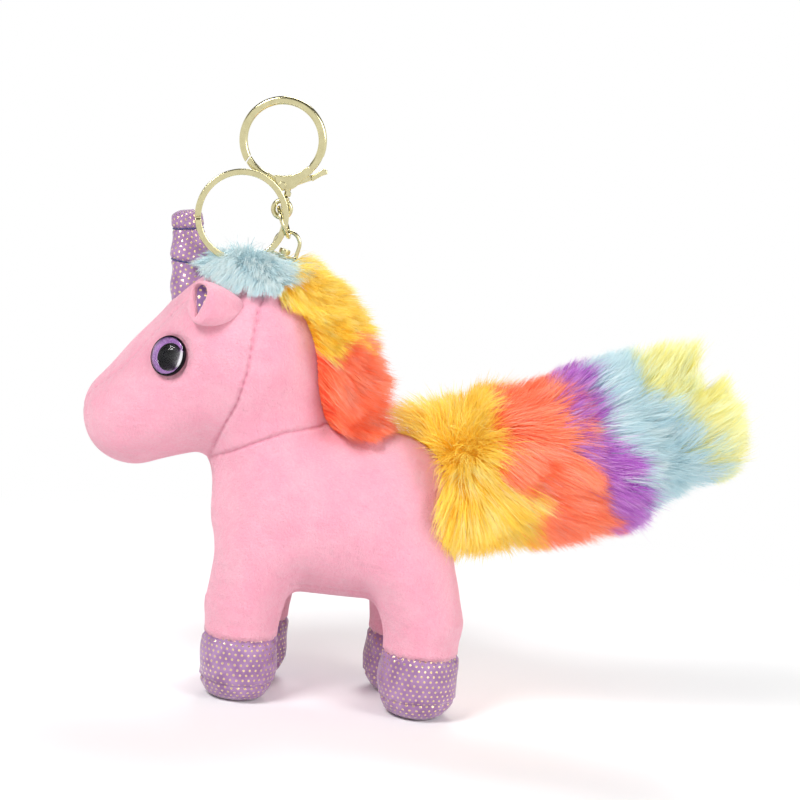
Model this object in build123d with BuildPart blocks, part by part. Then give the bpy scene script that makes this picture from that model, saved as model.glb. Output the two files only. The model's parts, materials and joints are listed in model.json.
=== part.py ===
"""Plush unicorn bag charm: a stuffed toy on four hooves with a swivel bow, key ring and trigger clasp on its crown.

Millimetres, +Z up, the muzzle towards -X and the tail towards +X. The origin is on the floor, below the middle of
the toy's length, in its mid-plane. Side views are sketched on the XZ plane, so a pair of numbers is (x, z).
"""

import math
import os

from build123d import *

# ---------------------------------------------------------------- driving dimensions
SKIN = 1.2  # plush fabric with its pile pressed flat
GAP = 0.15  # between the fabric and the stuffing
FAR = 200.0  # longer than anything here

MUZZLE_AT, MUZZLE_R = Vector(-80.5, 0, 80.5), 15.5
SKULL_AT, SKULL_R = Vector(-49.5, 0, 102.5), 26.0
TORSO_FRONT, TORSO_BACK, TORSO_R = Vector(-30, 0, 57), Vector(-5, 0, 57), 25.5
NECK_TILT = 67.6  # degrees down from +X, from the skull into the torso
NECK_TOP_R, NECK_SEAM_R, NECK_SEAM_AT, NECK_LENGTH = 24.5, 19.3, 27.6, 40.0

HOOF_TOP_Z, HOOF_SEAM_Z, HOOF_FLAT_R = 19.5, 6.0, 4.5
LEG_Y, LEG_TOP_Z = 12.3, 44.0
# name: (x of the hoof, x of the leg's top, side, hoof radius, leg's top radius)
LEGS = {
    "front_left": (-41.8, -39.0, -1, 11.6, 13.0),
    "front_right": (-40.3, -38.5, 1, 11.6, 13.0),
    "hind_left": (12.2, 6.5, -1, 12.0, 13.2),
    "hind_right": (7.2, 5.0, 1, 12.0, 13.2),
}
BELLY_SEAM_Z, GUSSET_HALF = 36.0, 11.8

# seams between the head, neck and body panels, in side view
HEAD_SEAM = [(-43, 140), (-45, 116), (-46, 100), (-48.6, 89.5), (-53.1, 80), (-57, 70.3)]
BODY_SEAM = [(-57, 70.3), (-43.2, 77.8), (-34, 82), (-21, 84.8), (-5, 91)]

EYE_ALONG, EYE_UP, EYE_R, PUPIL_R = 20.4, 10.7, 6.0, 4.2
IRIS_T, LENS_H, EYE_SINK = 0.3, 2.6, 0.6
STEM_R, STEM_LENGTH, WASHER_R, WASHER_AT = 1.2, 8.0, 5.0, 3.6

HORN_BASE, HORN_TIP = Vector(-66.3, 0, 119.5), Vector(-70.6, 0, 142.5)
HORN_BASE_R, HORN_TIP_R = 6.6, 3.7

EAR_ROOT, EAR_MOUTH = Vector(-52.5, -22.5, 116.3), Vector(-64.8, -20.3, 118.2)
EAR_ROOT_R, EAR_MOUTH_R, EAR_WALL, LINING_WALL = 2.6, 6.2, 1.3, 0.8

MANE_HALF, MANE_BACKING_T, MANE_BACKING_HALF = 14.0, 1.0, 6.5
MANE_CREST = [(-50.5, 121), (-48.8, 128.9), (-46, 130.2), (-42, 130.9), (-36, 130.4), (-27, 126.3), (-19, 119.5)]
MANE_CREST += [(-12.5, 111.5), (-7.5, 103), (-5.0, 95), (-6.8, 88.5), (-14, 85.5)]
MANE_NAPE = [(-24, 82), (-36, 95)]
MANE_CROWN_T = 2.6  # the crown's pile, pressed down below the rings that swing over it
BEHIND_BLUE = [(-42, 90), (-38, 145), (20, 145), (20, 60), (-42, 60)]
BELOW_YELLOW = [(-45, 91.2), (5, 113.7), (5, 60), (-45, 60)]

POST_TILT = 13.0  # degrees from +Z towards +X
POST_FOOT = Vector(-41.8, 0, 127.3)  # where the post leaves the crown
POST_R, COLLAR_R, FLANGE_R, KNOB_R = 1.2, 2.4, 3.2, 1.7
BOW_WIRE_R, BOW_HALF, BAR_LOW, BAR_T, BOW_TOP = 0.65, 3.7, 4.3, 1.0, 12.2

JUMP_LOW, JUMP_HIGH, JUMP_WIRE_R = Vector(-39.6, 0, 137.6), Vector(-43.3, 0, 146.1), 0.6
JUMP_LEAN = 2.0  # degrees that the ring turns from edge-on to the side view
KEY_RING_LINK, KEY_RING_TURN = Vector(-41.0, -1.95, 142.7), 13.0  # the band's middle in the jump ring
KEY_RING_OUT, KEY_RING_IN, KEY_RING_T = 14.0, 12.0, 1.5
KEY_RING_ROOM, KEY_RING_SWEEP = 0.6, 55  # how far the mane clears the ring, and through how many degrees

CLASP_AT, CLASP_OUT, CLASP_IN, CLASP_T = Vector(-44.0, 0, 165.9), 13.0, 10.4, 2.8
HOOK_START, GATE_R = -42.0, 12.56  # degrees round the clasp's ring from +X; the gate tip's reach from its pivot
PIVOT = Vector(-43.0, 0, 152.6)
RIVET_R, RIVET_HEAD_R, SLOT_T, WEB_T, SPRING_WIRE_R = 0.8, 1.2, 1.8, 0.9, 0.14
EYE_RING_AT, EYE_RING_R, EYE_RING_WIRE = Vector(-42.45, 0, 145.7), 2.55, 0.8
SWIVEL_FOOT, SWIVEL_TILT, NECK_R = Vector(-41.55, 0, 149.6), 11.0, 1.3

TAIL_TILT, RUMP_ANGLE, TAIL_BALL_R = 18.0, 29.0, 4.2
TAIL_PROFILE = [(1.5, 7), (4.5, 14), (11, 19.5), (22, 22.5), (44, 23.5), (60, 21), (71, 14), (77, 6)]  # (along, radius)
TAIL_END, TAIL_CORE_R = 78.5, 6.5
TAIL_BANDS = {"yellow": 14.0, "orange": 33.0, "purple": 44.0, "blue": 64.0, "tip": 90.0}  # where each ends

SIDE = Plane.XZ  # its normal is -Y, its x is +X and its y is +Z
os.makedirs("parts", exist_ok=True)


# ---------------------------------------------------------------- helpers
def write(solid, name):
    """Writes one sub-part as parts/NAME.step."""
    solid.label = name
    export_step(solid, f"parts/{name}.step")


def in_direction(degrees):
    """A unit vector in the side view, at this angle up from +X."""
    return Vector(math.cos(math.radians(degrees)), 0, math.sin(math.radians(degrees)))


def prism(points, half=FAR / 2):
    """A slab of the side view's polygon, from -half to +half in Y."""
    with BuildPart() as slab:
        with BuildSketch(SIDE):
            with BuildLine():
                Polyline(*points, close=True)
            make_face()
        extrude(amount=half, both=True)
    return slab.part


def along(start, direction, x_dir=(0, 1, 0)):
    """A plane at start whose normal runs along direction."""
    return Plane(origin=start, x_dir=x_dir, z_dir=direction)


def mirrored(solid):
    """The same piece on the toy's other side."""
    return mirror(solid, about=Plane.XZ)


# ---------------------------------------------------------------- the stuffed form
def head_form(grow):
    """Muzzle and skull as one round form, grown or shrunk by grow."""
    axis = SKULL_AT - MUZZLE_AT
    length, small, large = axis.length, MUZZLE_R + grow, SKULL_R + grow
    lean = math.asin((large - small) / length)
    back = Vector(-math.sin(lean), math.cos(lean))
    with BuildPart() as form:
        with BuildSketch(Plane(origin=MUZZLE_AT, x_dir=axis, z_dir=(0, -1, 0))):
            with BuildLine():
                start, end = back * small, Vector(length, 0) + back * large
                middle = Vector(-math.sin(math.pi / 4 + lean / 2), math.cos(math.pi / 4 + lean / 2))
                round_back = Vector(math.cos(math.pi / 4 - lean / 2), math.sin(math.pi / 4 - lean / 2))
                ThreePointArc((-small, 0), middle * small, start)
                Line(start, end)
                ThreePointArc(end, Vector(length, 0) + round_back * large, (length + large, 0))
                Line((length + large, 0), (-small, 0))
            make_face()
        revolve(axis=Axis(MUZZLE_AT, axis))
    return form.part


def torso_form(grow):
    with BuildPart() as form:
        with BuildSketch(along(TORSO_FRONT, (1, 0, 0))):
            Circle(TORSO_R + grow)
        extrude(amount=(TORSO_BACK - TORSO_FRONT).length)
        with Locations(TORSO_FRONT, TORSO_BACK):
            Sphere(TORSO_R + grow)
    return form.part


def cone_between(start, end, start_r, end_r):
    axis = end - start
    with BuildPart() as form:
        with BuildSketch(along(start, axis)):
            Circle(start_r)
        with BuildSketch(along(end, axis)):
            Circle(end_r)
        loft()
    return form.part


def taper(start, end, start_r, end_r, grow, before, past):
    """A cone between two points, grown by grow and run on by before and past along its own slope."""
    unit, slope = (end - start).normalized(), (end_r - start_r) / (end - start).length
    first, last = start_r + grow - slope * before, end_r + grow + slope * past
    return cone_between(start - unit * before, end + unit * past, first, last)


def neck_form(grow):
    end_r = NECK_TOP_R - (NECK_TOP_R - NECK_SEAM_R) * NECK_LENGTH / NECK_SEAM_AT
    end = SKULL_AT + in_direction(-NECK_TILT) * NECK_LENGTH
    return cone_between(SKULL_AT, end, NECK_TOP_R + grow, end_r + grow)


def leg_form(leg, grow):
    """A leg with a round shoulder, cut level where its hoof begins."""
    hoof_x, top_x, side, hoof_r, top_r = LEGS[leg]
    start, end = Vector(top_x, side * LEG_Y, LEG_TOP_Z), Vector(hoof_x, side * LEG_Y, HOOF_TOP_Z)
    with BuildPart() as form:
        add(taper(start, end, top_r, hoof_r - 0.6, grow, 0, 5))
        with Locations(start):
            Sphere(top_r + grow)
        split(bisect_by=Plane.XY.offset(HOOF_TOP_Z), keep=Keep.TOP)
    return form.part


def hoof_form(leg, grow):
    """A rounded boot with a small flat sole."""
    hoof_x, _, side, hoof_r, _ = LEGS[leg]
    low = -grow
    with BuildPart() as form:
        with BuildSketch(Plane(origin=(hoof_x, side * LEG_Y, 0), x_dir=(1, 0, 0), z_dir=(0, -1, 0))):
            with BuildLine():
                Line((0, HOOF_TOP_Z), (0, low))
                Line((0, low), (HOOF_FLAT_R, low))
                Spline(
                    (HOOF_FLAT_R, low),
                    (hoof_r - 1.8 + grow, 3.6 - grow * 0.5),
                    (hoof_r + grow, 10.5),
                    (hoof_r - 0.6 + grow, HOOF_TOP_Z),
                    tangents=[(1, 0.15), (-0.05, 1)],
                )
                Line((hoof_r - 0.6 + grow, HOOF_TOP_Z), (0, HOOF_TOP_Z))
            make_face()
        revolve(axis=Axis((hoof_x, side * LEG_Y, 0), (0, 0, 1)))
    return form.part


def toy_form(grow):
    """The whole stuffed toy without its hooves."""
    form = torso_form(grow) + neck_form(grow) + head_form(grow)
    for leg in LEGS:
        form += leg_form(leg, grow)
    return form


# ---------------------------------------------------------------- eyes, horn, post: places and their pockets
def eye_plane(side):
    """The plane of an eye on the head's round side, its normal outwards."""
    axis = (SKULL_AT - MUZZLE_AT).normalized()
    up = Vector(-axis.Z, 0, axis.X)
    lean = math.asin((SKULL_R - MUZZLE_R) / (SKULL_AT - MUZZLE_AT).length)
    radius = (MUZZLE_R + EYE_ALONG * math.sin(lean)) / math.cos(lean)
    out = Vector(0, side, 0) * math.sqrt(radius**2 - EYE_UP**2)
    normal = (up * EYE_UP + out) * (math.cos(lean) / radius) - axis * math.sin(lean)
    return Plane(origin=MUZZLE_AT + axis * EYE_ALONG + up * EYE_UP + out, x_dir=axis, z_dir=normal)


def disc(plane, radius, low, high):
    """A cylinder on this plane's normal, from low to high."""
    with BuildPart() as piece:
        with BuildSketch(plane.offset(low)):
            Circle(radius)
        extrude(amount=high - low)
    return piece.part


def washer(plane, radius, hole, low, high):
    with BuildPart() as piece:
        with BuildSketch(plane.offset(low)):
            Circle(radius)
            Circle(hole, mode=Mode.SUBTRACT)
        extrude(amount=high - low)
    return piece.part


POST_AXIS = in_direction(90 - POST_TILT)
POST_PLANE = along(POST_FOOT, POST_AXIS)
EYES = {"left": eye_plane(-1), "right": eye_plane(1)}
HORN_AXIS = (HORN_TIP - HORN_BASE).normalized()


def horn_form(grow, before=8.0):
    return taper(HORN_BASE, HORN_TIP, HORN_BASE_R, HORN_TIP_R, grow, before, grow)


# ---------------------------------------------------------------- fabric panels
outer = toy_form(0)
skin = outer - toy_form(-SKIN)
for eye in EYES.values():
    skin -= disc(eye, EYE_R + 0.1, -EYE_SINK - 0.05, 6)
    skin -= disc(eye, STEM_R + 0.1, -6, 6)
skin -= disc(POST_PLANE, POST_R + 0.15, -6, 6)

head_side = prism([(-130, 150), (-43, 150), *HEAD_SEAM, (-57, 40), (-130, 40)])
neck_side = prism([(-5, 150), (-43, 150), *HEAD_SEAM, *BODY_SEAM[1:]])
body_side = prism([(-57, -10), *BODY_SEAM, (60, 91), (60, -10)])

head_axis = (SKULL_AT - MUZZLE_AT).normalized()
head_up = Vector(-head_axis.Z, 0, head_axis.X)
with BuildPart() as forehead:
    with BuildSketch(Plane(origin=MUZZLE_AT, x_dir=head_axis, z_dir=head_up)):
        with BuildLine():
            Polyline((-20, -4.5), (70, -13), (70, 13), (-20, 4.5), close=True)
        make_face()
    extrude(amount=60)

left_half = prism([(-FAR, -FAR), (FAR, -FAR), (FAR, FAR), (-FAR, FAR)]).moved(Location((0, -FAR / 2, 0)))
right_half = mirrored(left_half)
with BuildPart() as underside:
    with Locations((0, 0, BELLY_SEAM_Z / 2)):
        Box(FAR, 2 * GUSSET_HALF, BELLY_SEAM_Z)

head_skin, neck_skin, body_skin = skin & head_side, skin & neck_side, skin & body_side
write(head_skin & forehead.part, "head_gusset")
write(body_skin & underside.part, "belly_gusset")
for name, half in (("left", left_half), ("right", right_half)):
    write((head_skin - forehead.part) & half, f"head_side_{name}")
    write(neck_skin & half, f"neck_side_{name}")
    write((body_skin - underside.part) & half, f"body_side_{name}")

for leg in LEGS:
    shell = hoof_form(leg, 0) - hoof_form(leg, -SKIN)
    slab = prism([(-FAR, -1), (FAR, -1), (FAR, HOOF_SEAM_Z), (-FAR, HOOF_SEAM_Z)])
    write(shell - slab, f"hoof_wall_{leg}")
    write(shell & slab, f"hoof_sole_{leg}")

# ---------------------------------------------------------------- stuffing
inside = -SKIN - GAP
torso_stuffing = torso_form(inside)
write(torso_stuffing, "torso_stuffing")
for leg in LEGS:
    hoof_x, top_x, side, hoof_r, top_r = LEGS[leg]
    top, ankle = Vector(top_x, side * LEG_Y, LEG_TOP_Z), Vector(hoof_x, side * LEG_Y, HOOF_TOP_Z)
    filling = taper(top, ankle, top_r, hoof_r - 0.6, inside - 0.3, 0, 0.3) - torso_form(inside + GAP + 0.05)
    write(filling + hoof_form(leg, inside), f"leg_stuffing_{leg}")

head_stuffing = head_form(inside)
neck_stuffing = neck_form(inside) - torso_form(inside + GAP) - head_form(inside + GAP)
for eye in EYES.values():
    head_stuffing -= disc(eye, STEM_R + 0.3, -STEM_LENGTH - EYE_SINK - 0.5, 3)
    head_stuffing -= disc(eye, WASHER_R + 0.3, -WASHER_AT - 1.3, -WASHER_AT + 0.3)
head_stuffing -= disc(POST_PLANE, POST_R + 0.4, -9, 3)
head_stuffing -= disc(POST_PLANE, FLANGE_R + 1.6, -4.2, -2.6)
write(head_stuffing, "head_stuffing")
write(neck_stuffing, "neck_stuffing")

# ---------------------------------------------------------------- eyes
for name, eye in EYES.items():
    with BuildPart() as base:
        with BuildSketch(eye.offset(-EYE_SINK)):
            Circle(EYE_R - 0.1)
        extrude(amount=EYE_SINK + 0.3)
        with BuildSketch(eye.offset(0.3)):
            Circle(PUPIL_R)
        extrude(amount=IRIS_T)
        with BuildSketch(eye.offset(-EYE_SINK)):
            Circle(STEM_R)
        extrude(amount=-STEM_LENGTH)
    with BuildPart() as lens:
        rim = EYE_R - 0.1
        ball = (rim**2 + LENS_H**2) / (2 * LENS_H)
        with BuildSketch(Plane(origin=eye.origin + eye.z_dir * (0.3 + IRIS_T), x_dir=eye.x_dir, z_dir=-eye.y_dir)):
            with BuildLine():
                Line((0, 0), (rim, 0))
                turn = math.asin(rim / ball) / 2
                ThreePointArc((rim, 0), (ball * math.sin(turn), LENS_H - ball + ball * math.cos(turn)), (0, LENS_H))
                Line((0, LENS_H), (0, 0))
            make_face()
        revolve(axis=Axis(eye.origin, eye.z_dir))
    write(base.part, f"eye_base_{name}")
    write(lens.part, f"eye_lens_{name}")
    write(washer(eye, EYE_R - 0.1, PUPIL_R + 0.02, 0.3, 0.3 + IRIS_T), f"eye_iris_{name}")
    write(washer(eye, WASHER_R, STEM_R + 0.02, -WASHER_AT - 1, -WASHER_AT), f"eye_washer_{name}")

# ---------------------------------------------------------------- horn
above_head = head_form(GAP)
horn_skin = horn_form(0) - horn_form(-SKIN, 12) - above_head
write(horn_skin.solids().sort_by(Axis.Z)[-1], "horn_cover")
horn_fill = horn_form(inside) - above_head
write(horn_fill.solids().sort_by(Axis.Z)[-1], "horn_stuffing")

stitches = Part()
around_horn = horn_form(0.55) - horn_form(0.05, 9)
for height, lean in ((8.0, -14.0), (18.0, -3.0)):
    thread_plane = along(HORN_BASE + HORN_AXIS * height, HORN_AXIS.rotate(Axis.Y, lean))
    stitches += around_horn & disc(thread_plane, 12, -0.25, 0.25)
write(stitches, "horn_stitches")

# ---------------------------------------------------------------- ears
EAR_AXIS = EAR_MOUTH - EAR_ROOT
clear_of_head = toy_form(0.35)


def ear_cone(shrink, past=0.0):
    return taper(EAR_ROOT, EAR_MOUTH, EAR_ROOT_R, EAR_MOUTH_R, -shrink, -shrink, past)


ear_outer = ear_cone(0) - ear_cone(EAR_WALL, 1) - clear_of_head
ear_lining = ear_cone(EAR_WALL + 0.05) - ear_cone(EAR_WALL + LINING_WALL, 1) - clear_of_head
ear_outer, ear_lining = (piece.solids().sort_by(SortBy.VOLUME)[-1] for piece in (ear_outer, ear_lining))
write(ear_outer, "ear_outer_left")
write(ear_lining, "ear_lining_left")
write(mirrored(ear_outer), "ear_outer_right")
write(mirrored(ear_lining), "ear_lining_right")

# ---------------------------------------------------------------- mane
key_out = Vector(1, 0, 0).rotate(Axis.Z, KEY_RING_TURN)
key_normal = Vector(0, -1, 0).rotate(Axis.Z, KEY_RING_TURN)
KEY_RING_AT = KEY_RING_LINK - key_out * (KEY_RING_OUT + KEY_RING_IN) / 2
key_plane = Plane(origin=KEY_RING_AT, x_dir=key_out, z_dir=key_normal)
with BuildPart() as ring_sweep:
    with BuildSketch(key_plane):
        Circle(KEY_RING_OUT + KEY_RING_ROOM)
        with Locations((KEY_RING_OUT - 1, 0)):
            Rectangle(6, 3 * KEY_RING_OUT, mode=Mode.SUBTRACT)
    revolve(axis=Axis(KEY_RING_LINK, (0, 0, 1)), revolution_arc=KEY_RING_SWEEP)
room_for_bow = disc(POST_PLANE, 6.2, 1.4, 20)
room_for_post = disc(POST_PLANE, POST_R + 0.3, -5, 20)
on_skin, on_backing = toy_form(0.2), toy_form(0.2 + MANE_BACKING_T)
horn_room = horn_form(0.6, 12)


def crest_slab(inward, half):
    """The mane's side view, drawn in towards its middle by a share of the way, and this wide each way."""
    points = [(x + (-34 - x) * inward, z + (103 - z) * inward) for x, z in MANE_CREST]
    with BuildPart() as slab:
        with BuildSketch(SIDE):
            with BuildLine():
                Spline(*points)
                Polyline(points[-1], *MANE_NAPE, points[0])
            make_face()
        extrude(amount=half, both=True)
    return slab.part


crest = crest_slab(0, MANE_HALF - 4) + crest_slab(0.07, MANE_HALF - 1.5) + crest_slab(0.15, MANE_HALF)
strip = prism([*MANE_CREST, *MANE_NAPE], MANE_BACKING_HALF)
backing = (on_backing & strip) - on_skin - room_for_post - horn_room - ring_sweep.part
write(backing.solids().sort_by(SortBy.VOLUME)[-1], "mane_backing")

fur = crest - toy_form(0.4 + MANE_BACKING_T) - room_for_bow - room_for_post - horn_room - ring_sweep.part
behind_blue, below_yellow = prism(BEHIND_BLUE), prism(BELOW_YELLOW)
for name, band in (
    ("blue", (fur - behind_blue) & toy_form(MANE_CROWN_T)),
    ("yellow", (fur & behind_blue) - below_yellow),
    ("orange", fur & below_yellow),
):
    write(band.solids().sort_by(SortBy.VOLUME)[-1], f"mane_fur_{name}")

# ---------------------------------------------------------------- crown post, washer and bow
with BuildPart() as post:
    for radius, low, high in (
        (POST_R, -7.5, BAR_LOW + BAR_T + 0.9),
        (FLANGE_R, 1.5, 2.4),
        (COLLAR_R, 2.4, BAR_LOW - 0.2),
        (KNOB_R, BAR_LOW + BAR_T + 0.2, BAR_LOW + BAR_T + 1.6),
    ):
        with BuildSketch(POST_PLANE.offset(low)):
            Circle(radius)
        extrude(amount=high - low)
    fillet(post.faces().sort_by(Axis.Z)[-1].edges(), 0.4)
write(post.part, "crown_post")
write(washer(POST_PLANE, FLANGE_R + 1.2, POST_R + 0.02, -3.9, -2.9), "crown_washer")

bow_plane = Plane(origin=POST_FOOT, x_dir=POST_AXIS.rotate(Axis.Y, 90), z_dir=(0, -1, 0))
bow_round = BOW_TOP - BOW_HALF
with BuildPart() as bow:
    with BuildLine(bow_plane):
        bow_path = Polyline((-BOW_HALF, BAR_LOW + BAR_T / 2), (-BOW_HALF, bow_round))
        bow_arc = ThreePointArc((-BOW_HALF, bow_round), (0, BOW_TOP), (BOW_HALF, bow_round))
        Line((BOW_HALF, bow_round), (BOW_HALF, BAR_LOW + BAR_T / 2))
    with BuildSketch(Plane(origin=bow_path @ 0, z_dir=bow_path % 0)):
        Circle(BOW_WIRE_R)
    sweep()
    with BuildSketch(POST_PLANE.offset(BAR_LOW)):
        Rectangle(2.0, 2 * BOW_HALF + 1.2)
        Circle(2.3)
    extrude(amount=BAR_T)
    with BuildSketch(POST_PLANE.offset(BAR_LOW)):
        Circle(POST_R + 0.08)
    extrude(amount=BAR_T, mode=Mode.SUBTRACT)
write(bow.part, "swivel_bow")

# ---------------------------------------------------------------- jump ring and key ring
jump_axis = (JUMP_LOW - JUMP_HIGH).normalized()
jump_side = Vector(0, -1, 0).rotate(Axis((0, 0, 0), jump_axis), JUMP_LEAN)
jump_plane = Plane(origin=(JUMP_LOW + JUMP_HIGH) / 2, x_dir=jump_axis, z_dir=jump_axis.cross(jump_side))
jump_r = (JUMP_LOW - JUMP_HIGH).length / 2
with BuildPart() as jump:
    with BuildSketch(Plane(origin=jump_plane.origin, x_dir=jump_axis, z_dir=jump_side)):
        with Locations((jump_r, 0)):
            Circle(JUMP_WIRE_R)
    revolve(axis=Axis(jump_plane.origin, jump_plane.z_dir), revolution_arc=358.0)
write(jump.part, "jump_ring")

with BuildPart() as key_ring:
    with BuildSketch(key_plane.offset(-KEY_RING_T / 2)):
        Circle(KEY_RING_OUT)
        Circle(KEY_RING_IN, mode=Mode.SUBTRACT)
    extrude(amount=KEY_RING_T)
    fillet(key_ring.edges(), 0.25)
    # the parting line of the two coils, and a coil's end on each face
    with BuildSketch(Plane(origin=KEY_RING_AT, x_dir=key_out, z_dir=(0, 0, 1))):
        with Locations((KEY_RING_OUT, 0), (KEY_RING_IN, 0)):
            Rectangle(0.5, 0.16)
    revolve(axis=Axis(KEY_RING_AT, key_normal), mode=Mode.SUBTRACT)
    for level, angle in ((-KEY_RING_T / 2, 205), (KEY_RING_T / 2, 187)):
        with BuildSketch(key_plane.offset(level)):
            with PolarLocations((KEY_RING_OUT + KEY_RING_IN) / 2, 1, start_angle=angle):
                Rectangle(4, 0.7)
        extrude(amount=KEY_RING_T / 4, both=True, mode=Mode.SUBTRACT)
write(key_ring.part, "key_ring")

# ---------------------------------------------------------------- trigger clasp
clasp_plane = Plane(origin=CLASP_AT, x_dir=(1, 0, 0), z_dir=(0, -1, 0))
CLASP_MID = (CLASP_OUT + CLASP_IN) / 2


def on_ring(degrees, radius):
    """A point of the clasp's ring, as (x, z)."""
    point = CLASP_AT + in_direction(degrees) * radius
    return (point.X, point.Z)


def ring_arc(start, end, inner, outer_r, thick, corner):
    """A piece of the clasp's ring from start to end degrees, of rounded section."""
    with BuildPart() as arc:
        towards = in_direction(start)
        with BuildSketch(Plane(origin=CLASP_AT, x_dir=towards, z_dir=towards.cross(Vector(0, -1, 0)))):
            with Locations(((inner + outer_r) / 2, 0)):
                RectangleRounded(outer_r - inner, thick, corner)
        revolve(axis=Axis(CLASP_AT, (0, -1, 0)), revolution_arc=end - start)
    return arc.part


cheek = [on_ring(261, CLASP_IN), on_ring(275, CLASP_IN), on_ring(290, CLASP_IN), on_ring(305, CLASP_IN)]
cheek += [on_ring(318, CLASP_IN), on_ring(318, CLASP_OUT), (-37.3, 154.6), (-38.8, 152.6), (-39.8, 151.9)]
cheek += [(-42.6, 151.4), (-44.7, 152.0), (-45.3, 153.4)]
web_room = [(-43.2, 150.9), (-46.5, 151.0), (-47.5, 157.5), (-42.5, 157.5), (-42.5, 152.6)]
lever_room = [(-43.0, 155.0), (-30.0, 163.2), (-26.0, 158), (-26.0, 150.9), (-40.7, 150.9), (-41.1, 151.85)]
lever_room += [(-42.0, 151.9)]

pivot_plane = Plane(origin=PIVOT, x_dir=(1, 0, 0), z_dir=(0, -1, 0))
gate_reach = disc(pivot_plane, GATE_R, -5, 5)
hook = ring_arc(HOOK_START, 150, CLASP_IN, CLASP_OUT, CLASP_T, 0.95)
hook += ring_arc(150, 240, CLASP_IN, CLASP_OUT, CLASP_T, 0.95) - disc(pivot_plane, GATE_R + 0.3, -5, 5)
hook += prism(cheek, CLASP_T / 2)
swivel_axis = in_direction(90 - SWIVEL_TILT)
swivel_plane = along(SWIVEL_FOOT, swivel_axis)
hook += disc(swivel_plane, NECK_R, 0, 2.6)
hook -= prism(lever_room, SLOT_T / 2)
hook -= prism(web_room, SLOT_T / 2)
hook -= disc(pivot_plane, 2.8, -SLOT_T / 2, SLOT_T / 2)
hook -= disc(pivot_plane, RIVET_R + 0.02, -5, 5)
hook -= disc(swivel_plane, 0.65, -3, 1.8)
hook -= disc(swivel_plane, 1.0, 0.7, 1.5)
write(hook.solids().sort_by(SortBy.VOLUME)[-1], "clasp_hook")

gate = ring_arc(200, 252, CLASP_IN, CLASP_OUT - 0.2, CLASP_T - 0.2, 0.8) & gate_reach
web = [on_ring(244, CLASP_IN + 0.3), on_ring(253, CLASP_IN + 0.1), (-44.2, 154.7), (-42.0, 154.5), (-36.0, 156.2)]
web += [(-33.5, 157.0), (-33.5, 155.4), (-41.3, 151.8), (-43.0, 150.9), (-45.0, 151.9), on_ring(244, CLASP_OUT - 0.6)]
gate += prism(web, WEB_T / 2)
thumb = [(-34.8, 155.8), (-33.0, 157.6), (-31.4, 158.9), (-30.2, 158.6), (-29.8, 157.4), (-31.6, 156.6)]
gate += prism([*thumb, (-34.2, 154.7)], CLASP_T / 2)
gate -= disc(pivot_plane, RIVET_R + 0.06, -5, 5)
write(gate.solids().sort_by(SortBy.VOLUME)[-1], "clasp_gate")

with BuildPart() as rivet:
    for low, high, radius in ((-1.45, 1.45, RIVET_R), (-1.68, -1.41, RIVET_HEAD_R), (1.41, 1.68, RIVET_HEAD_R)):
        with BuildSketch(pivot_plane.offset(low)):
            Circle(radius)
        extrude(amount=high - low)
    fillet(rivet.faces().sort_by(Axis.Y)[0].edges() + rivet.faces().sort_by(Axis.Y)[-1].edges(), 0.15)
write(rivet.part, "clasp_rivet")

with BuildPart() as eye_ring:
    with BuildSketch(Plane(origin=EYE_RING_AT, x_dir=(1, 0, 0), z_dir=(0, 0, 1))):
        with Locations((EYE_RING_R, 0)):
            Circle(EYE_RING_WIRE)
    revolve(axis=Axis(EYE_RING_AT, (0, 1, 0)))
clasp_eye = eye_ring.part + disc(swivel_plane, 0.58, -1.4, 0.9) + disc(swivel_plane, 0.92, 0.82, 1.38)
clasp_eye += disc(swivel_plane, 1.3, -1.1, -0.25)
write(clasp_eye, "clasp_eye")

# the gate's return spring: one open turn round the rivet and a leg against the body
spring_at = PIVOT + Vector(0, (SLOT_T + WEB_T) / 4, 0)
with BuildPart() as spring:
    with BuildSketch(Plane(origin=spring_at, x_dir=(0, 0, -1), z_dir=(1, 0, 0))):
        with Locations((1.35, 0)):
            Circle(SPRING_WIRE_R)
    revolve(axis=Axis(spring_at, (0, 1, 0)), revolution_arc=-290)
    add(cone_between(spring_at + Vector(0, 0, -1.35), spring_at + Vector(2.1, 0, -1.35), SPRING_WIRE_R, SPRING_WIRE_R))
write(spring.part, "clasp_spring")

# ---------------------------------------------------------------- tail
RUMP = in_direction(RUMP_ANGLE)
TAIL_PIVOT = TORSO_BACK + RUMP * (TORSO_R + TAIL_BALL_R + 0.4)
TAIL_AXIS = in_direction(TAIL_TILT)
tail_side = Plane(origin=TAIL_PIVOT, x_dir=TAIL_AXIS, z_dir=(0, -1, 0))


def tail_round(points):
    """A round form about the tail's axis from (along, radius) points, closed on the axis."""
    with BuildPart() as form:
        with BuildSketch(tail_side):
            with BuildLine():
                Polyline(*points, close=True)
            make_face()
        revolve(axis=Axis(TAIL_PIVOT, TAIL_AXIS))
    return form.part


with BuildPart() as tail_form:
    with BuildSketch(tail_side):
        with BuildLine():
            side_line = Spline(*TAIL_PROFILE, (TAIL_END, 0))
            Polyline((TAIL_END, 0), (TAIL_PROFILE[0][0], 0), TAIL_PROFILE[0])
        make_face()
    revolve(axis=Axis(TAIL_PIVOT, TAIL_AXIS))

with BuildPart() as ball:
    with Locations(TAIL_PIVOT):
        Sphere(TAIL_BALL_R)
    with Locations(TAIL_PIVOT):
        Sphere(TAIL_BALL_R - SKIN, mode=Mode.SUBTRACT)
write(ball.part, "tail_root_collar")

core = tail_round([(4.9, 0), (4.9, 4.2), (12, TAIL_CORE_R), (66, TAIL_CORE_R), (71, 4), (73, 0)])
room = TAIL_CORE_R + GAP
core_room = tail_round([(-9, 0), (-9, 5.0), (5, 5.0), (12, room), (66.1, room), (71.2, 4.1), (73.2, 0)])
write(core, "tail_stuffing")

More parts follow.
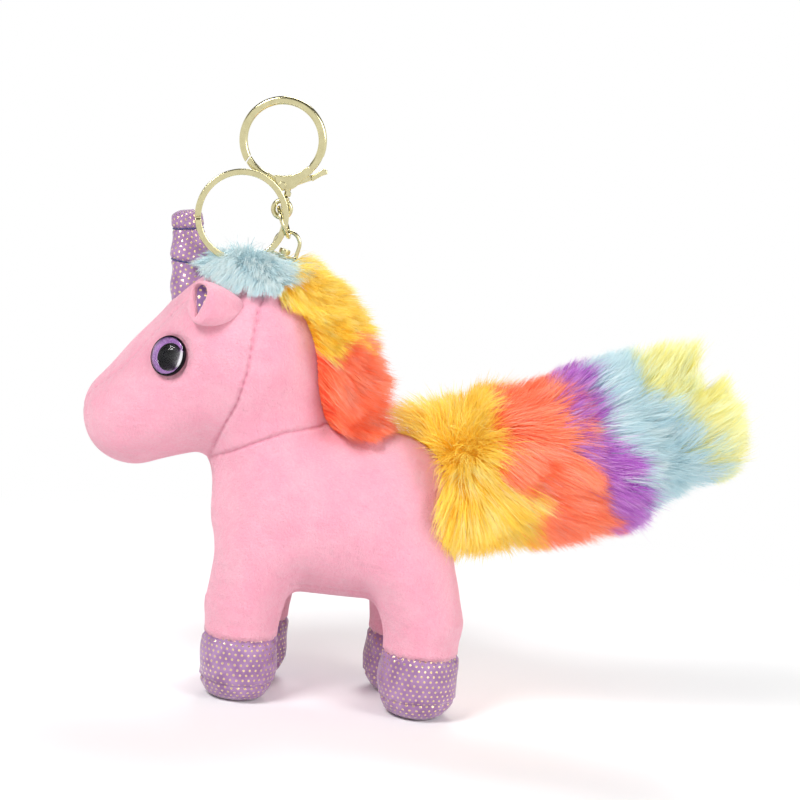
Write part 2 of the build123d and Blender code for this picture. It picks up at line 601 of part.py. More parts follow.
fur_sleeve = tail_form.part - core_room
start = -5.0
for band, end in TAIL_BANDS.items():
    write(fur_sleeve & tail_round([(start, 0), (end, 0), (end, 40), (start, 40)]), f"tail_fur_{band}")
    start = end
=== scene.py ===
"""Looks for the plush unicorn bag charm: plush skin, foil-dot cloth, eyes, fur strands and plated metal.

Shapes are worked out in the part's own millimetres and scaled to metres when a mesh is made.
"""

import json
import math

import bmesh
import bpy
import numpy as np
from mathutils import Matrix, Vector


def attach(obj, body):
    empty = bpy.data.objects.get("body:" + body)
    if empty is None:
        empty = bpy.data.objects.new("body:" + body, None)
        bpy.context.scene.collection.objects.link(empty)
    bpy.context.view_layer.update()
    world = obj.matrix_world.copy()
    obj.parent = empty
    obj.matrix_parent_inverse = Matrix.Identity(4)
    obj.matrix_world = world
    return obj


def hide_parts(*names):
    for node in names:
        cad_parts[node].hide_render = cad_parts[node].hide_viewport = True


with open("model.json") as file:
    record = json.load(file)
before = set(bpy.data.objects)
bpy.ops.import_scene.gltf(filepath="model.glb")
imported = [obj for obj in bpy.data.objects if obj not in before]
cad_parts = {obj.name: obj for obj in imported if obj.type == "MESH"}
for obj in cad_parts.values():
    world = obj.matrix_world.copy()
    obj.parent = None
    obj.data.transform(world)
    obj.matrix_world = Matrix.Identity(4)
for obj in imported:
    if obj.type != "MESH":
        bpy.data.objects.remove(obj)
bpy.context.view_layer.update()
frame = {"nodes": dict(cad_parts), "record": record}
MM = 0.001
LEFT, RIGHT = -1, 1
add_to_scene = bpy.context.scene.collection.objects.link

# ---------- places shared with the part, in millimetres
MUZZLE, MUZZLE_R = np.array([-80.5, 0, 80.5]), 15.5
SKULL, SKULL_R = np.array([-49.5, 0, 102.5]), 26.0
TORSO_FRONT, TORSO_BACK, TORSO_R = np.array([-30.0, 0, 57]), np.array([-5.0, 0, 57]), 25.5
NECK_HIGH, NECK_HIGH_R, NECK_LOW, NECK_LOW_R = 4.0, 23.4, 38.0, 17.6  # balls of the neck, down from the skull
NECK_DOWN = np.array([math.cos(math.radians(67.6)), 0, -math.sin(math.radians(67.6))])
LEG_Y, LEG_TOP_Z, HOOF_TOP_Z = 12.3, 44.0, 19.5
LEGS = {
    "front_left": (-41.8, -39.0, LEFT, 11.6, 13.0),
    "front_right": (-40.3, -38.5, RIGHT, 11.6, 13.0),
    "hind_left": (12.2, 6.5, LEFT, 12.0, 13.2),
    "hind_right": (7.2, 5.0, RIGHT, 12.0, 13.2),
}
HEAD_AXIS = (SKULL - MUZZLE) / np.linalg.norm(SKULL - MUZZLE)
HEAD_UP = np.array([-HEAD_AXIS[2], 0, HEAD_AXIS[0]])
HEAD_SEAM = [(-43, 140), (-45, 116), (-46, 100), (-48.6, 89.5), (-53.1, 80), (-57, 70.3)]
BODY_SEAM = [(-57, 70.3), (-43.2, 77.8), (-34, 82), (-21, 84.8), (-5, 91)]
BELLY_SEAM_Z = 36.0
TAIL_PIVOT = np.array([21.3261, 0, 71.5928])
TAIL_AXIS = np.array([math.cos(math.radians(18)), 0, math.sin(math.radians(18))])


def linear(hex_colour):
    """A '#rrggbb' colour as the linear RGBA that shaders want."""
    values = [int(hex_colour[i : i + 2], 16) / 255 for i in (1, 3, 5)]
    return [v / 12.92 if v <= 0.04045 else ((v + 0.055) / 1.055) ** 2.4 for v in values] + [1.0]


# ---------- material building
class Shader:
    """A Principled material with short ways to add and join nodes."""

    def __init__(self, name, **sockets):
        self.material = bpy.data.materials.new(name)
        self.material.use_nodes = True
        self.tree = self.material.node_tree
        self.main = self.tree.nodes["Principled BSDF"]
        for socket, value in sockets.items():
            self.main.inputs[socket.replace("_", " ").title().replace("Ior", "IOR")].default_value = value

    def node(self, kind, **settings):
        new = self.tree.nodes.new(kind)
        for key, value in settings.items():
            if key in new.bl_rna.properties:
                setattr(new, key, value)
            else:
                new.inputs[key.replace("_", " ")].default_value = value
        return new

    def link(self, source, target):
        self.tree.links.new(source, target)
        return target

    def math(self, operation, *values):
        new = self.tree.nodes.new("ShaderNodeMath")
        new.operation = operation
        for slot, value in zip(new.inputs, values):
            if isinstance(value, (int, float)):
                slot.default_value = value
            else:
                self.link(value, slot)
        return new.outputs[0]

    def where(self, scale=1.0):
        """Object coordinates, in millimetres over scale."""
        coords = self.node("ShaderNodeTexCoord")
        grow = self.node("ShaderNodeVectorMath", operation="SCALE")
        grow.inputs["Scale"].default_value = 1000.0 / scale
        self.link(coords.outputs["Object"], grow.inputs[0])
        return grow.outputs[0]

    def noise(self, size, detail=2.0, roughness=0.5, vector=None):
        """Noise with features about size millimetres across."""
        new = self.node("ShaderNodeTexNoise")
        new.inputs["Scale"].default_value = 1.0 / size
        new.inputs["Detail"].default_value = detail
        new.inputs["Roughness"].default_value = roughness
        self.link(vector or self.where(), new.inputs["Vector"])
        return new.outputs["Fac"]

    def mix(self, factor, first, second):
        new = self.node("ShaderNodeMix", data_type="RGBA")
        for slot, value in ((new.inputs[0], factor), (new.inputs[6], first), (new.inputs[7], second)):
            if hasattr(value, "links"):
                self.link(value, slot)
            else:
                slot.default_value = linear(value) if isinstance(value, str) else value
        return new.outputs[2]

    def ramp(self, value, low, high):
        """value stretched so that low becomes 0 and high becomes 1."""
        new = self.node("ShaderNodeMapRange")
        new.inputs["From Min"].default_value = low
        new.inputs["From Max"].default_value = high
        self.link(value, new.inputs["Value"])
        return new.outputs["Result"]

    def bump(self, height, strength, distance):
        new = self.node("ShaderNodeBump")
        new.inputs["Strength"].default_value = strength
        new.inputs["Distance"].default_value = distance * MM
        self.link(height, new.inputs["Height"])
        self.link(new.outputs["Normal"], self.main.inputs["Normal"])

    def colour(self, socket):
        self.link(socket, self.main.inputs["Base Color"])


def plush_material(name, pale, mid, deep):
    """Short brushed pile: soft sheen, patches that lie different ways, and a fine nap."""
    s = Shader(name, roughness=0.95, sheen_weight=0.6, sheen_roughness=0.45, specular_ior_level=0.2)
    s.main.inputs["Sheen Tint"].default_value = (1.0, 0.9, 0.93, 1)
    patches = s.ramp(s.noise(9, 4, 0.65), 0.38, 0.66)
    nap = s.ramp(s.noise(0.7, 3, 0.7), 0.3, 0.7)
    body = s.mix(patches, mid, pale)
    body = s.mix(s.math("MULTIPLY", nap, 0.42), body, deep)
    # painted shade: seam grooves are coloured deeper pink by the seam depth that the skin carries
    seam_shade = s.node("ShaderNodeAttribute", attribute_name="seam_shade")
    s.colour(s.mix(s.ramp(seam_shade.outputs["Fac"], 0.1, 2.6), body, "#EC7A9C"))
    s.bump(s.math("ADD", s.noise(0.5, 3, 0.7), s.math("MULTIPLY", s.noise(3.0, 2, 0.5), 1.5)), 1.0, 0.7)
    return s.material


def foil_material(name, base, thread, foil):
    """Diagonal twill with a lattice of small gold foil dots, laid out by the piece's weave coordinates."""
    s = Shader(name, sheen_weight=0.35, sheen_roughness=0.35, specular_ior_level=0.45)
    weave = s.node("ShaderNodeUVMap", uv_map="weave")
    parts = s.node("ShaderNodeSeparateXYZ")
    s.link(weave.outputs[0], parts.inputs[0])
    across, up = parts.outputs[0], parts.outputs[1]
    pitch, row_pitch, dot_r = 1.9, 1.62, 0.37
    row = s.math("FLOOR", s.math("DIVIDE", up, row_pitch))
    half_step = s.math("MULTIPLY", s.math("MODULO", row, 2.0), 0.5)
    shifted = s.math("ADD", s.math("DIVIDE", across, pitch), half_step)
    du = s.math("MULTIPLY", s.math("SUBTRACT", s.math("FRACT", shifted), 0.5), pitch)
    up_row = s.math("FRACT", s.math("DIVIDE", up, row_pitch))
    dv = s.math("MULTIPLY", s.math("SUBTRACT", up_row, 0.5), row_pitch)
    radius = s.math("SQRT", s.math("ADD", s.math("MULTIPLY", du, du), s.math("MULTIPLY", dv, dv)))
    radius = s.math("ADD", radius, s.math("MULTIPLY", s.math("SUBTRACT", s.noise(0.5), 0.5), 0.16))
    dot = s.ramp(radius, dot_r + 0.05, dot_r - 0.05)
    diagonal = s.math("ADD", across, up)
    rib = s.math("ABSOLUTE", s.math("SINE", s.math("MULTIPLY", diagonal, math.pi / 0.4)))
    worn = s.ramp(s.noise(4.0, 3), 0.35, 0.7)
    cloth = s.mix(s.math("MULTIPLY", rib, 0.75), thread, base)
    cloth = s.mix(s.math("MULTIPLY", worn, 0.3), cloth, "#D9B4E0")
    s.colour(s.mix(dot, cloth, foil))
    s.link(s.math("MULTIPLY", dot, 0.95), s.main.inputs["Metallic"])
    s.link(s.math("SUBTRACT", 0.6, s.math("MULTIPLY", dot, 0.33)), s.main.inputs["Roughness"])
    s.bump(s.math("ADD", rib, s.math("MULTIPLY", dot, 0.8)), 0.35, 0.12)
    return s.material


def metal_material(name, colour, roughness):
    """Polished plating with faint wear and drawn lines."""
    s = Shader(name, metallic=1.0, roughness=roughness)
    wear = s.ramp(s.noise(2.2, 4, 0.65), 0.35, 0.75)
    s.colour(s.mix(s.math("MULTIPLY", wear, 0.5), colour, "#B9AF80"))
    s.link(s.math("ADD", roughness, s.math("MULTIPLY", wear, 0.1)), s.main.inputs["Roughness"])
    s.bump(s.noise(1.1, 3, 0.6), 0.12, 0.14)
    return s.material


def strand_material(name, colour):
    """One shade of synthetic fur fibre, with a faint painted glow."""
    s = Shader(name, roughness=0.5, sheen_weight=0.5, sheen_roughness=0.35, specular_ior_level=0.35)
    s.main.inputs["Emission Strength"].default_value = 0.12  # painted glow: a faint emission in the fibre's own colour, standing in for the light that fine fibres pass on to one another
    for socket in ("Base Color", "Sheen Tint", "Emission Color"):
        s.main.inputs[socket].default_value = colour
    s.bump(s.noise(0.4, 2, 0.5), 0.2, 0.1)
    return s.material


def shades(name, colours):
    return [strand_material(f"{name}_{i}", linear(c)) for i, c in enumerate(colours)]


PLUSH = plush_material("pink_plush", "#FFBFCF", "#FEB0C5", "#F394B0")
FOIL = foil_material("lavender_foil", "#A279A2", "#7C5484", "#E6D0A0")
LINING = foil_material("glitter_lining", "#8E62A0", "#6C447E", "#D8BE8C")
GOLD = metal_material("pale_gold", "#DAD2A6", 0.16)
FUR_SHADES = {  # each row deep to pale; tufts take tones at random, and each strand is painted deeper at the root as shade and paler at the tip as light
    "blue": "#A9C6D0 #B7D3DC #C2DBE1 #CBDFE3 #D3E2E4 #DAE4E4",
    "yellow": "#F3BE34 #F7CA42 #F8D450 #F5DA66 #F0DD80 #E6DA96",
    "orange": "#EE5E3E #F77A50 #FB8A60 #FA9872 #F5A588 #EBAA96",
    "purple": "#9634A8 #A84CBA #B866C8 #C680D0 #D29AD8 #DCB2E0",
    "pale_yellow": "#DDD062 #E6DE7C #ECE698 #EEEBB0 #EBEEC8 #E4ECDA",
}
FUR = {name: shades(f"fur_{name}", row.split()) for name, row in FUR_SHADES.items()}


# ---------- mesh building
def placed(name, mesh, body):
    """A piece with this mesh, riding on body."""
    piece = bpy.data.objects.new(name, mesh)
    add_to_scene(piece)
    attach(piece, body)
    return piece


def mesh_object(name, vertices, faces, material, body, uv=None):
    """A piece from millimetre vertices and faces of any size, riding on body."""
    mesh = bpy.data.meshes.new(name)
    mesh.from_pydata((np.asarray(vertices) * MM).tolist(), [], [list(map(int, f)) for f in faces])
    for m in material if isinstance(material, (list, tuple)) else [material]:
        mesh.materials.append(m)
    if uv is not None:
        layer = mesh.uv_layers.new(name="weave")
        loops = np.empty(len(mesh.loops), dtype=np.int64)
        mesh.loops.foreach_get("vertex_index", loops)
        layer.data.foreach_set("uv", np.asarray(uv, dtype=np.float32)[loops].ravel())
    mesh.polygons.foreach_set("use_smooth", [True] * len(mesh.polygons))
    return placed(name, mesh, body)


def stands_for(piece, nodes):
    """Hides the CAD nodes that a piece stands in for."""
    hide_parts(*nodes)


def grid_faces(rows, columns):
    """Quads of a grid of rows by columns vertices, joined round."""
    return [
        (r * columns + c, r * columns + d, (r + 1) * columns + d, (r + 1) * columns + c)
        for r in range(rows - 1)
        for c, d in ((c, (c + 1) % columns) for c in range(columns))
    ]


def frame_from(axis):
    """Two unit vectors square to axis."""
    axis = np.asarray(axis, float) / np.linalg.norm(axis)
    side = np.cross(axis, (0, 1, 0) if abs(axis[1]) < 0.9 else (1, 0, 0))
    side /= np.linalg.norm(side)
    return side, np.cross(axis, side)


# ---------- the stuffed form as a distance field
def round_cone(p, a, b, ra, rb):
    """Distance to the hull of two balls."""
    ba = b - a
    l2 = ba @ ba
    rr = ra - rb
    a2 = l2 - rr * rr
    il2 = 1.0 / l2
    pa = p - a
    y = pa @ ba
    z = y - l2
    x2 = np.sum((pa * l2 - y[:, None] * ba) ** 2, axis=1)
    y2 = y * y * l2
    z2 = z * z * l2
    k = np.sign(rr) * rr * rr * x2
    out = (np.sqrt(x2 * a2 * il2) + y * rr) * il2 - ra
    far = np.sign(z) * a2 * z2 > k
    near = np.sign(y) * a2 * y2 < k
    out[far] = (np.sqrt(x2 + z2) * il2 - rb)[far]
    out[near & ~far] = (np.sqrt(x2 + y2) * il2 - ra)[near & ~far]
    return out


def blend(a, b, k):
    """The nearer of two distances, rounded over k millimetres where they meet."""
    h = np.clip(0.5 + 0.5 * (b - a) / k, 0, 1)
    return b * (1 - h) + a * h - k * h * (1 - h)


def toy_distance(p):
    """Signed distance to the stuffed toy, its joins softened as stuffing softens them."""
    head = round_cone(p, MUZZLE, SKULL, MUZZLE_R, SKULL_R)
    high, low = SKULL + NECK_DOWN * NECK_HIGH, SKULL + NECK_DOWN * NECK_LOW
    neck = round_cone(p, high, low, NECK_HIGH_R, NECK_LOW_R)
    torso = round_cone(p, TORSO_FRONT, TORSO_BACK, TORSO_R, TORSO_R - 0.01)
    out = blend(blend(head, neck, 4.0), torso, 6.0)
    for hoof_x, top_x, side, hoof_r, top_r in LEGS.values():
        top = np.array([top_x, side * LEG_Y, LEG_TOP_Z])
        foot = np.array([hoof_x, side * LEG_Y, HOOF_TOP_Z + 9.5])
        out = blend(out, round_cone(p, top, foot, top_r - 0.2, hoof_r - 0.3), 5.0)
    return out


def leg_distance(p):
    """The legs alone, run down a little way inside the hooves."""
    out = np.full(len(p), 99.0)
    for hoof_x, top_x, side, hoof_r, top_r in LEGS.values():
        foot = np.array([hoof_x, side * LEG_Y, HOOF_TOP_Z])
        rel = p - foot
        across = np.hypot(rel[:, 0], rel[:, 1])
        shaft = np.maximum(across - (hoof_r - 0.75), np.maximum(-rel[:, 2] - 1.6, rel[:, 2] - 10))
        out = np.minimum(out, shaft)
    return out


def skin_distance(p):
    """Signed distance to the plush cover, which runs on into the hooves."""
    return blend(toy_distance(p), leg_distance(p), 1.6)


def gradient(field, p, step=0.02):
    """The field at each point, and its unit direction of rise."""
    base = field(p)
    out = np.stack([field(p + np.eye(3)[i] * step) - base for i in range(3)], axis=1) / step
    return base, out / np.maximum(np.linalg.norm(out, axis=1, keepdims=True), 1e-9)


def polyline_distance(x, z, points):
    """Distance to a side-view polyline, and the length along it of the nearest point."""
    best, along, run = np.full(len(x), 1e9), np.zeros(len(x)), 0.0
    for (ax, az), (bx, bz) in zip(points[:-1], points[1:]):
        dx, dz = bx - ax, bz - az
        length = math.hypot(dx, dz)
        t = np.clip(((x - ax) * dx + (z - az) * dz) / length**2, 0, 1)
        d = np.hypot(x - ax - t * dx, z - az - t * dz)
        closer = d < best
        best[closer], along[closer] = d[closer], run + t[closer] * length
        run += length
    return best, along


def gusset_half(u):
    """Half the forehead panel's width, u along the head from the muzzle's middle."""
    return np.where(u < 6, 10.8 * np.sqrt(np.clip((u + 13) / 19, 0, 1)), 10.8 + (u - 6) * 0.05)


def head_uv(p):
    """Millimetres along the head from the muzzle, and up from its axis."""
    rel = p - MUZZLE
    return rel @ HEAD_AXIS, rel @ HEAD_UP


def side_of(points, x, z):
    """Positive behind the side-view polyline, by interpolation in z."""
    pz, px = np.array([q[1] for q in points])[::-1], np.array([q[0] for q in points])[::-1]
    return x - np.interp(z, pz, px)


def seams(p):
    """Depth of the seam grooves at each point, in millimetres, with a pucker at each stitch."""
    x, y, z = p[:, 0], np.abs(p[:, 1]), p[:, 2]
    u, v = head_uv(p)
    in_head = side_of(HEAD_SEAM, x, z) < 0
    depth = np.zeros(len(p))

    def groove(d, along, where, deep, wide=0.62, pitch=2.6):
        pucker = 0.8 + 0.2 * np.cos(2 * math.pi * along / pitch)
        cut = deep * np.exp(-((d / wide) ** 2)) * pucker - 0.18 * deep * np.exp(-(((d - 2.4) / 1.5) ** 2))
        np.maximum(depth, np.where(where, cut, -9), out=depth, where=where)

    d, s = polyline_distance(x, z, HEAD_SEAM)
    groove(d, s, np.ones(len(p), bool), 1.0)
    d, s = polyline_distance(x, z, BODY_SEAM)
    groove(d, s, z > 68, 0.9)
    groove(np.abs(y - gusset_half(u)), u, in_head & (v > 0), 0.5)
    groove(y, u, in_head & (v < 0), 0.45)
    groove(y, x + z, (~in_head) & ((z > 62) | (x < -45)), 0.4)
    groove(np.abs(z - BELLY_SEAM_Z), x, (z > 30) & (z < 42) & (y > 10) & (np.abs(x + 16.5) < 12), 0.6)
    groove(np.abs(y - LEG_Y), z, (z < BELLY_SEAM_Z + 1) & (z > 20), 0.4)
    return depth


# ---------- plush skin
def hull_mesh(mesh, balls):
    """Adds the convex hull of some balls, each (centre, radius)."""
    for centre, radius in balls:
        at = Matrix.Translation(Vector(centre) * MM)
        bmesh.ops.create_icosphere(mesh, subdivisions=3, radius=radius * MM, matrix=at)
    done = bmesh.ops.convex_hull(mesh, input=mesh.verts[:])
    inside = [v for v in done["geom_interior"] if isinstance(v, bmesh.types.BMVert)]
    bmesh.ops.delete(mesh, geom=inside, context="VERTS")


def remeshed(balls_list, voxel, name):
    """The union of hulls as an even quad mesh: vertices in millimetres, and faces."""
    mesh = bmesh.new()
    for balls in balls_list:
        part = bmesh.new()
        hull_mesh(part, balls)
        temp = bpy.data.meshes.new("hull")
        part.to_mesh(temp)
        mesh.from_mesh(temp)
        part.free()
        bpy.data.meshes.remove(temp)
    data = bpy.data.meshes.new(name)
    mesh.to_mesh(data)
    mesh.free()
    piece = bpy.data.objects.new(name, data)
    add_to_scene(piece)
    remesh = piece.modifiers.new("even", "REMESH")
    remesh.mode, remesh.voxel_size = "VOXEL", voxel * MM
    done = piece.evaluated_get(bpy.context.evaluated_depsgraph_get()).to_mesh()
    vertices = np.empty(len(done.vertices) * 3)
    done.vertices.foreach_get("co", vertices)
    faces = np.empty(len(done.loops), dtype=np.int64)
    done.loops.foreach_get("vertex_index", faces)
    faces = faces.reshape(-1, 4)
    piece.to_mesh_clear()
    bpy.data.objects.remove(piece)
    bpy.data.meshes.remove(data)
    return vertices.reshape(-1, 3) / MM, faces


def relax(vertices, faces, field, rounds):
    """Evens out the mesh along the field's surface."""
    a, b = faces.ravel(), np.roll(faces, -1, axis=1).ravel()
    for _ in range(rounds):
        total, count = np.zeros_like(vertices), np.zeros(len(vertices))
        np.add.at(total, a, vertices[b])
        np.add.at(total, b, vertices[a])
        np.add.at(count, a, 1)
        np.add.at(count, b, 1)
        vertices = 0.5 * vertices + 0.5 * total / count[:, None]
        for _ in range(2):
            d, n = gradient(field, vertices)
            vertices = vertices - n * d[:, None]
    return vertices


EYE_ALONG, EYE_UP, EYE_RING = 20.4, 10.7, 6.4  # along and above the head's axis, and the pressed-in ring
EYES = {}
for side_name, side in (("left", LEFT), ("right", RIGHT)):
    slope = math.asin((SKULL_R - MUZZLE_R) / np.linalg.norm(SKULL - MUZZLE))
    ring_r = (MUZZLE_R + EYE_ALONG * math.sin(slope)) / math.cos(slope)
    out = np.array([0, side, 0]) * math.sqrt(ring_r**2 - EYE_UP**2)
    normal = (HEAD_UP * EYE_UP + out) * (math.cos(slope) / ring_r) - HEAD_AXIS * math.sin(slope)
    EYES[side_name] = (MUZZLE + HEAD_AXIS * EYE_ALONG + HEAD_UP * EYE_UP + out, normal)

balls_list = [
    [(MUZZLE, MUZZLE_R), (SKULL, SKULL_R)],
    [(SKULL + NECK_DOWN * NECK_HIGH, NECK_HIGH_R), (SKULL + NECK_DOWN * NECK_LOW, NECK_LOW_R)],
    [(TORSO_FRONT, TORSO_R), (TORSO_BACK, TORSO_R)],
]
for hoof_x, top_x, side, hoof_r, top_r in LEGS.values():
    foot = (hoof_x, side * LEG_Y, HOOF_TOP_Z + 9)
    balls_list.append([((top_x, side * LEG_Y, LEG_TOP_Z), top_r), (foot, hoof_r - 0.3)])
SKIN_VOXEL = 0.5
skin, skin_faces = remeshed(balls_list, SKIN_VOXEL, "skin_base")
skin = relax(skin, skin_faces, skin_distance, 4)
_, skin_normal = gradient(skin_distance, skin)
lump = 0.35 * np.sin(skin[:, 0] * 0.21 + 1) * np.sin(skin[:, 1] * 0.24 + 2) * np.sin(skin[:, 2] * 0.19)
# seam depth, kept on the skin so that the plush is painted deeper pink in its grooves as shade
seam_depth = np.clip(seams(skin), 0, 1)
move = lump - seams(skin)
for centre, normal in EYES.values():
    away = np.linalg.norm(skin - centre, axis=1)
    move = np.where(away < EYE_RING, -1.3, move - 0.9 * np.exp(-(((away - EYE_RING) / 1.6) ** 2)))
skin = skin + skin_normal * move[:, None]

face_at = skin[skin_faces].mean(axis=1)
fx, fy, fz = face_at.T
fu, fv = head_uv(face_at)
is_head = side_of(HEAD_SEAM, fx, fz) < 0
is_head &= fz > 60
body_line = np.interp(fx, [q[0] for q in BODY_SEAM], [q[1] for q in BODY_SEAM])
is_neck = ~is_head & (fz > body_line) & (fx > -57.5)
is_belly = ~is_head & ~is_neck & (fz < BELLY_SEAM_Z) & (np.abs(fy) < LEG_Y)
is_gusset = is_head & (np.abs(fy) < gusset_half(fu)) & (fv > 0)
PANELS = {"head_gusset": is_gusset, "belly_gusset": is_belly}
IN_BODY = ~is_head & ~is_neck & ~is_belly
for part, chosen in (("head", is_head & ~is_gusset), ("neck", is_neck), ("body", IN_BODY)):
    PANELS[f"{part}_side_left"] = chosen & (fy < 0)
    PANELS[f"{part}_side_right"] = chosen & (fy >= 0)


def vertex_normals(vertices, faces):
    """Area-weighted normals of a quad mesh."""
    corner = vertices[faces]
    face_normal = np.cross(corner[:, 2] - corner[:, 0], corner[:, 3] - corner[:, 1])
    out = np.zeros_like(vertices)
    for i in range(4):
        np.add.at(out, faces[:, i], face_normal)
    return out / np.maximum(np.linalg.norm(out, axis=1, keepdims=True), 1e-12)


whole_normals = vertex_normals(skin, skin_faces)
FILLING = {  # the filling that each panel holds, and stands for
    "head_side_left": ["head_stuffing"],
    "neck_side_left": ["neck_stuffing"],
    "body_side_left": ["torso_stuffing", "leg_stuffing_front_left", "leg_stuffing_hind_left"],
    "body_side_right": ["leg_stuffing_front_right", "leg_stuffing_hind_right"],
}
for panel, chosen in PANELS.items():
    own = skin_faces[chosen]
    used, compact = np.unique(own, return_inverse=True)
    piece = mesh_object(f"plush_{panel}", skin[used], compact.reshape(own.shape), PLUSH, "toy")
    piece.data.normals_split_custom_set_from_vertices(whole_normals[used].tolist())
    seam_shade = piece.data.attributes.new("seam_shade", "FLOAT", "POINT")
    seam_shade.data.foreach_set("value", seam_depth[used].astype(np.float32))
    stands_for(piece, [panel, *FILLING.get(panel, [])])


# ---------- hooves and horn
def lathe(rings, columns, centre_of, radius_of, axis=(0, 0, 1), close_low=True, close_high=True):
    """Rings of vertices round an axis, with caps, and weave coordinates in millimetres."""
    side, other = frame_from(axis)
    vertices, weave, run = [], [], 0.0
    for r, level in enumerate(rings):
        centre = np.asarray(centre_of(level), float)
        if r:
            spread = abs(radius_of(level, 0) - radius_of(rings[r - 1], 0))
            run += np.linalg.norm(centre - before) + spread * 0.7
        before = centre
        for c in range(columns):
            turn = 2 * math.pi * c / columns
            radius = radius_of(level, turn)
            vertices.append(centre + (side * math.cos(turn) + other * math.sin(turn)) * radius)
            weave.append((turn * radius_of(rings[len(rings) // 2], 0), run))
    faces = grid_faces(len(rings), columns)
    if close_low:
        faces.append(tuple(reversed(range(columns))))
    if close_high:
        faces.append(tuple(range((len(rings) - 1) * columns, len(rings) * columns)))
    return np.array(vertices), faces, np.array(weave)


def hoof_radius(z, hoof_r):
    """The stuffed boot's outline."""
    points_z = [0.0, 0.5, 1.6, 3.6, 6.5, 10.5, 15.0, 18.2, 19.6, 20.2]
    points_r = [0.45, 0.62, 0.76, 0.875, 0.965, 1.0, 0.99, 0.955, 0.9, 0.80]
    return hoof_r * float(np.interp(z, points_z, points_r))


for n, (leg, (hoof_x, top_x, side, hoof_r, top_r)) in enumerate(LEGS.items()):
    centre = np.array([hoof_x, side * LEG_Y, 0.0])

    def hoof_surface(level, turn):
        """The boot's radius with its two seams, their puckers and a slight sag."""
        pucker_top = 0.28 * math.sin(17 * turn + n) * math.exp(-(((level - 18.6) / 2.2) ** 2))
        pucker_low = 0.3 * math.sin(13 * turn + 2 * n) * math.exp(-(((level - 5.6) / 2.0) ** 2))
        seam = -0.5 * math.exp(-(((level - 5.6) / 0.55) ** 2))
        seam -= 0.35 * math.exp(-(((level - 19.0) / 0.8) ** 2))
        sag = 0.22 * math.sin(3 * turn + level * 0.5 + n)
        return hoof_radius(level, hoof_r) + pucker_top + pucker_low + seam + sag

    for part, low, high in (("hoof_sole", 0.0, 5.6), ("hoof_wall", 5.6, 20.2)):
        rings = list(np.linspace(low, high, 14 if part == "hoof_sole" else 34))
        verts, faces, weave = lathe(rings, 96, lambda z: centre + (0, 0, z), hoof_surface,
                                    close_low=part == "hoof_sole", close_high=part == "hoof_wall")
        weave = weave + (0, 0 if part == "hoof_sole" else 6.3)
        piece = mesh_object(f"{part}_cloth_{leg}", verts, faces, FOIL, "toy", uv=weave)
        stands_for(piece, [f"{part}_{leg}"])

HORN_BASE, HORN_TIP = np.array([-66.3, 0, 119.5]), np.array([-70.6, 0, 142.5])
HORN_AXIS = (HORN_TIP - HORN_BASE) / np.linalg.norm(HORN_TIP - HORN_BASE)
HORN_LENGTH = np.linalg.norm(HORN_TIP - HORN_BASE)
THREADS = ((8.0, -14.0), (18.0, -3.0))  # height up the horn, lean in degrees


def horn_radius(level, turn):
    """The horn's radius, drawn in at each thread and rounded at its blunt end."""
    t = level / HORN_LENGTH
    radius = 6.6 + (3.9 - 6.6) * t + 0.3 * math.sin(level * 0.62 + 0.6)
    for height, lean in THREADS:
        local = level - height - math.tan(math.radians(-lean)) * radius * math.cos(turn)
        radius -= 0.55 * math.exp(-((local / 0.7) ** 2)) - 0.25 * math.exp(-((local / 2.6) ** 2))
        radius += 0.14 * math.sin(15 * turn) * math.exp(-((local / 2.0) ** 2))
    rounding = max(0.0, level - (HORN_LENGTH - 1.6)) / 1.6
    radius *= 1 + 0.05 * math.sin(2 * turn + 0.7)
    return radius * math.sqrt(max(0.05, 1 - 0.75 * rounding**2))


rings = list(np.linspace(-7, HORN_LENGTH, 90))
verts, faces, weave = lathe(
    rings, 96, lambda z: HORN_BASE + HORN_AXIS * z, horn_radius, HORN_AXIS, close_low=False, close_high=True
)
turned = math.radians(15)
weave = weave @ np.array([[math.cos(turned), -math.sin(turned)], [math.sin(turned), math.cos(turned)]])
horn = mesh_object("horn_cloth", verts, faces, FOIL, "toy", uv=weave)
stands_for(horn, ["horn_cover"])


def tube(points, radius, sides, twist, lobes):
    """A closed loop of twisted thread, of several lobes, through points."""
    points = np.asarray(points, float)
    tangent = np.roll(points, -1, axis=0) - np.roll(points, 1, axis=0)
    tangent /= np.linalg.norm(tangent, axis=1, keepdims=True)
    guide = np.array([0.31, 0.17, 0.93])
    side = np.cross(tangent, guide)
    side /= np.linalg.norm(side, axis=1, keepdims=True)
    other = np.cross(tangent, side)
    vertices = []
    for i, p in enumerate(points):
        for j in range(sides):
            turn = 2 * math.pi * j / sides
            r = radius * (1 + 0.22 * math.cos(lobes * turn + twist * i))
            vertices.append(p + (side[i] * math.cos(turn) + other[i] * math.sin(turn)) * r)
    faces = grid_faces(len(points), sides)
    last = (len(points) - 1) * sides
    faces += [(last + c, last + (c + 1) % sides, (c + 1) % sides, c) for c in range(sides)]
    return np.array(vertices), faces


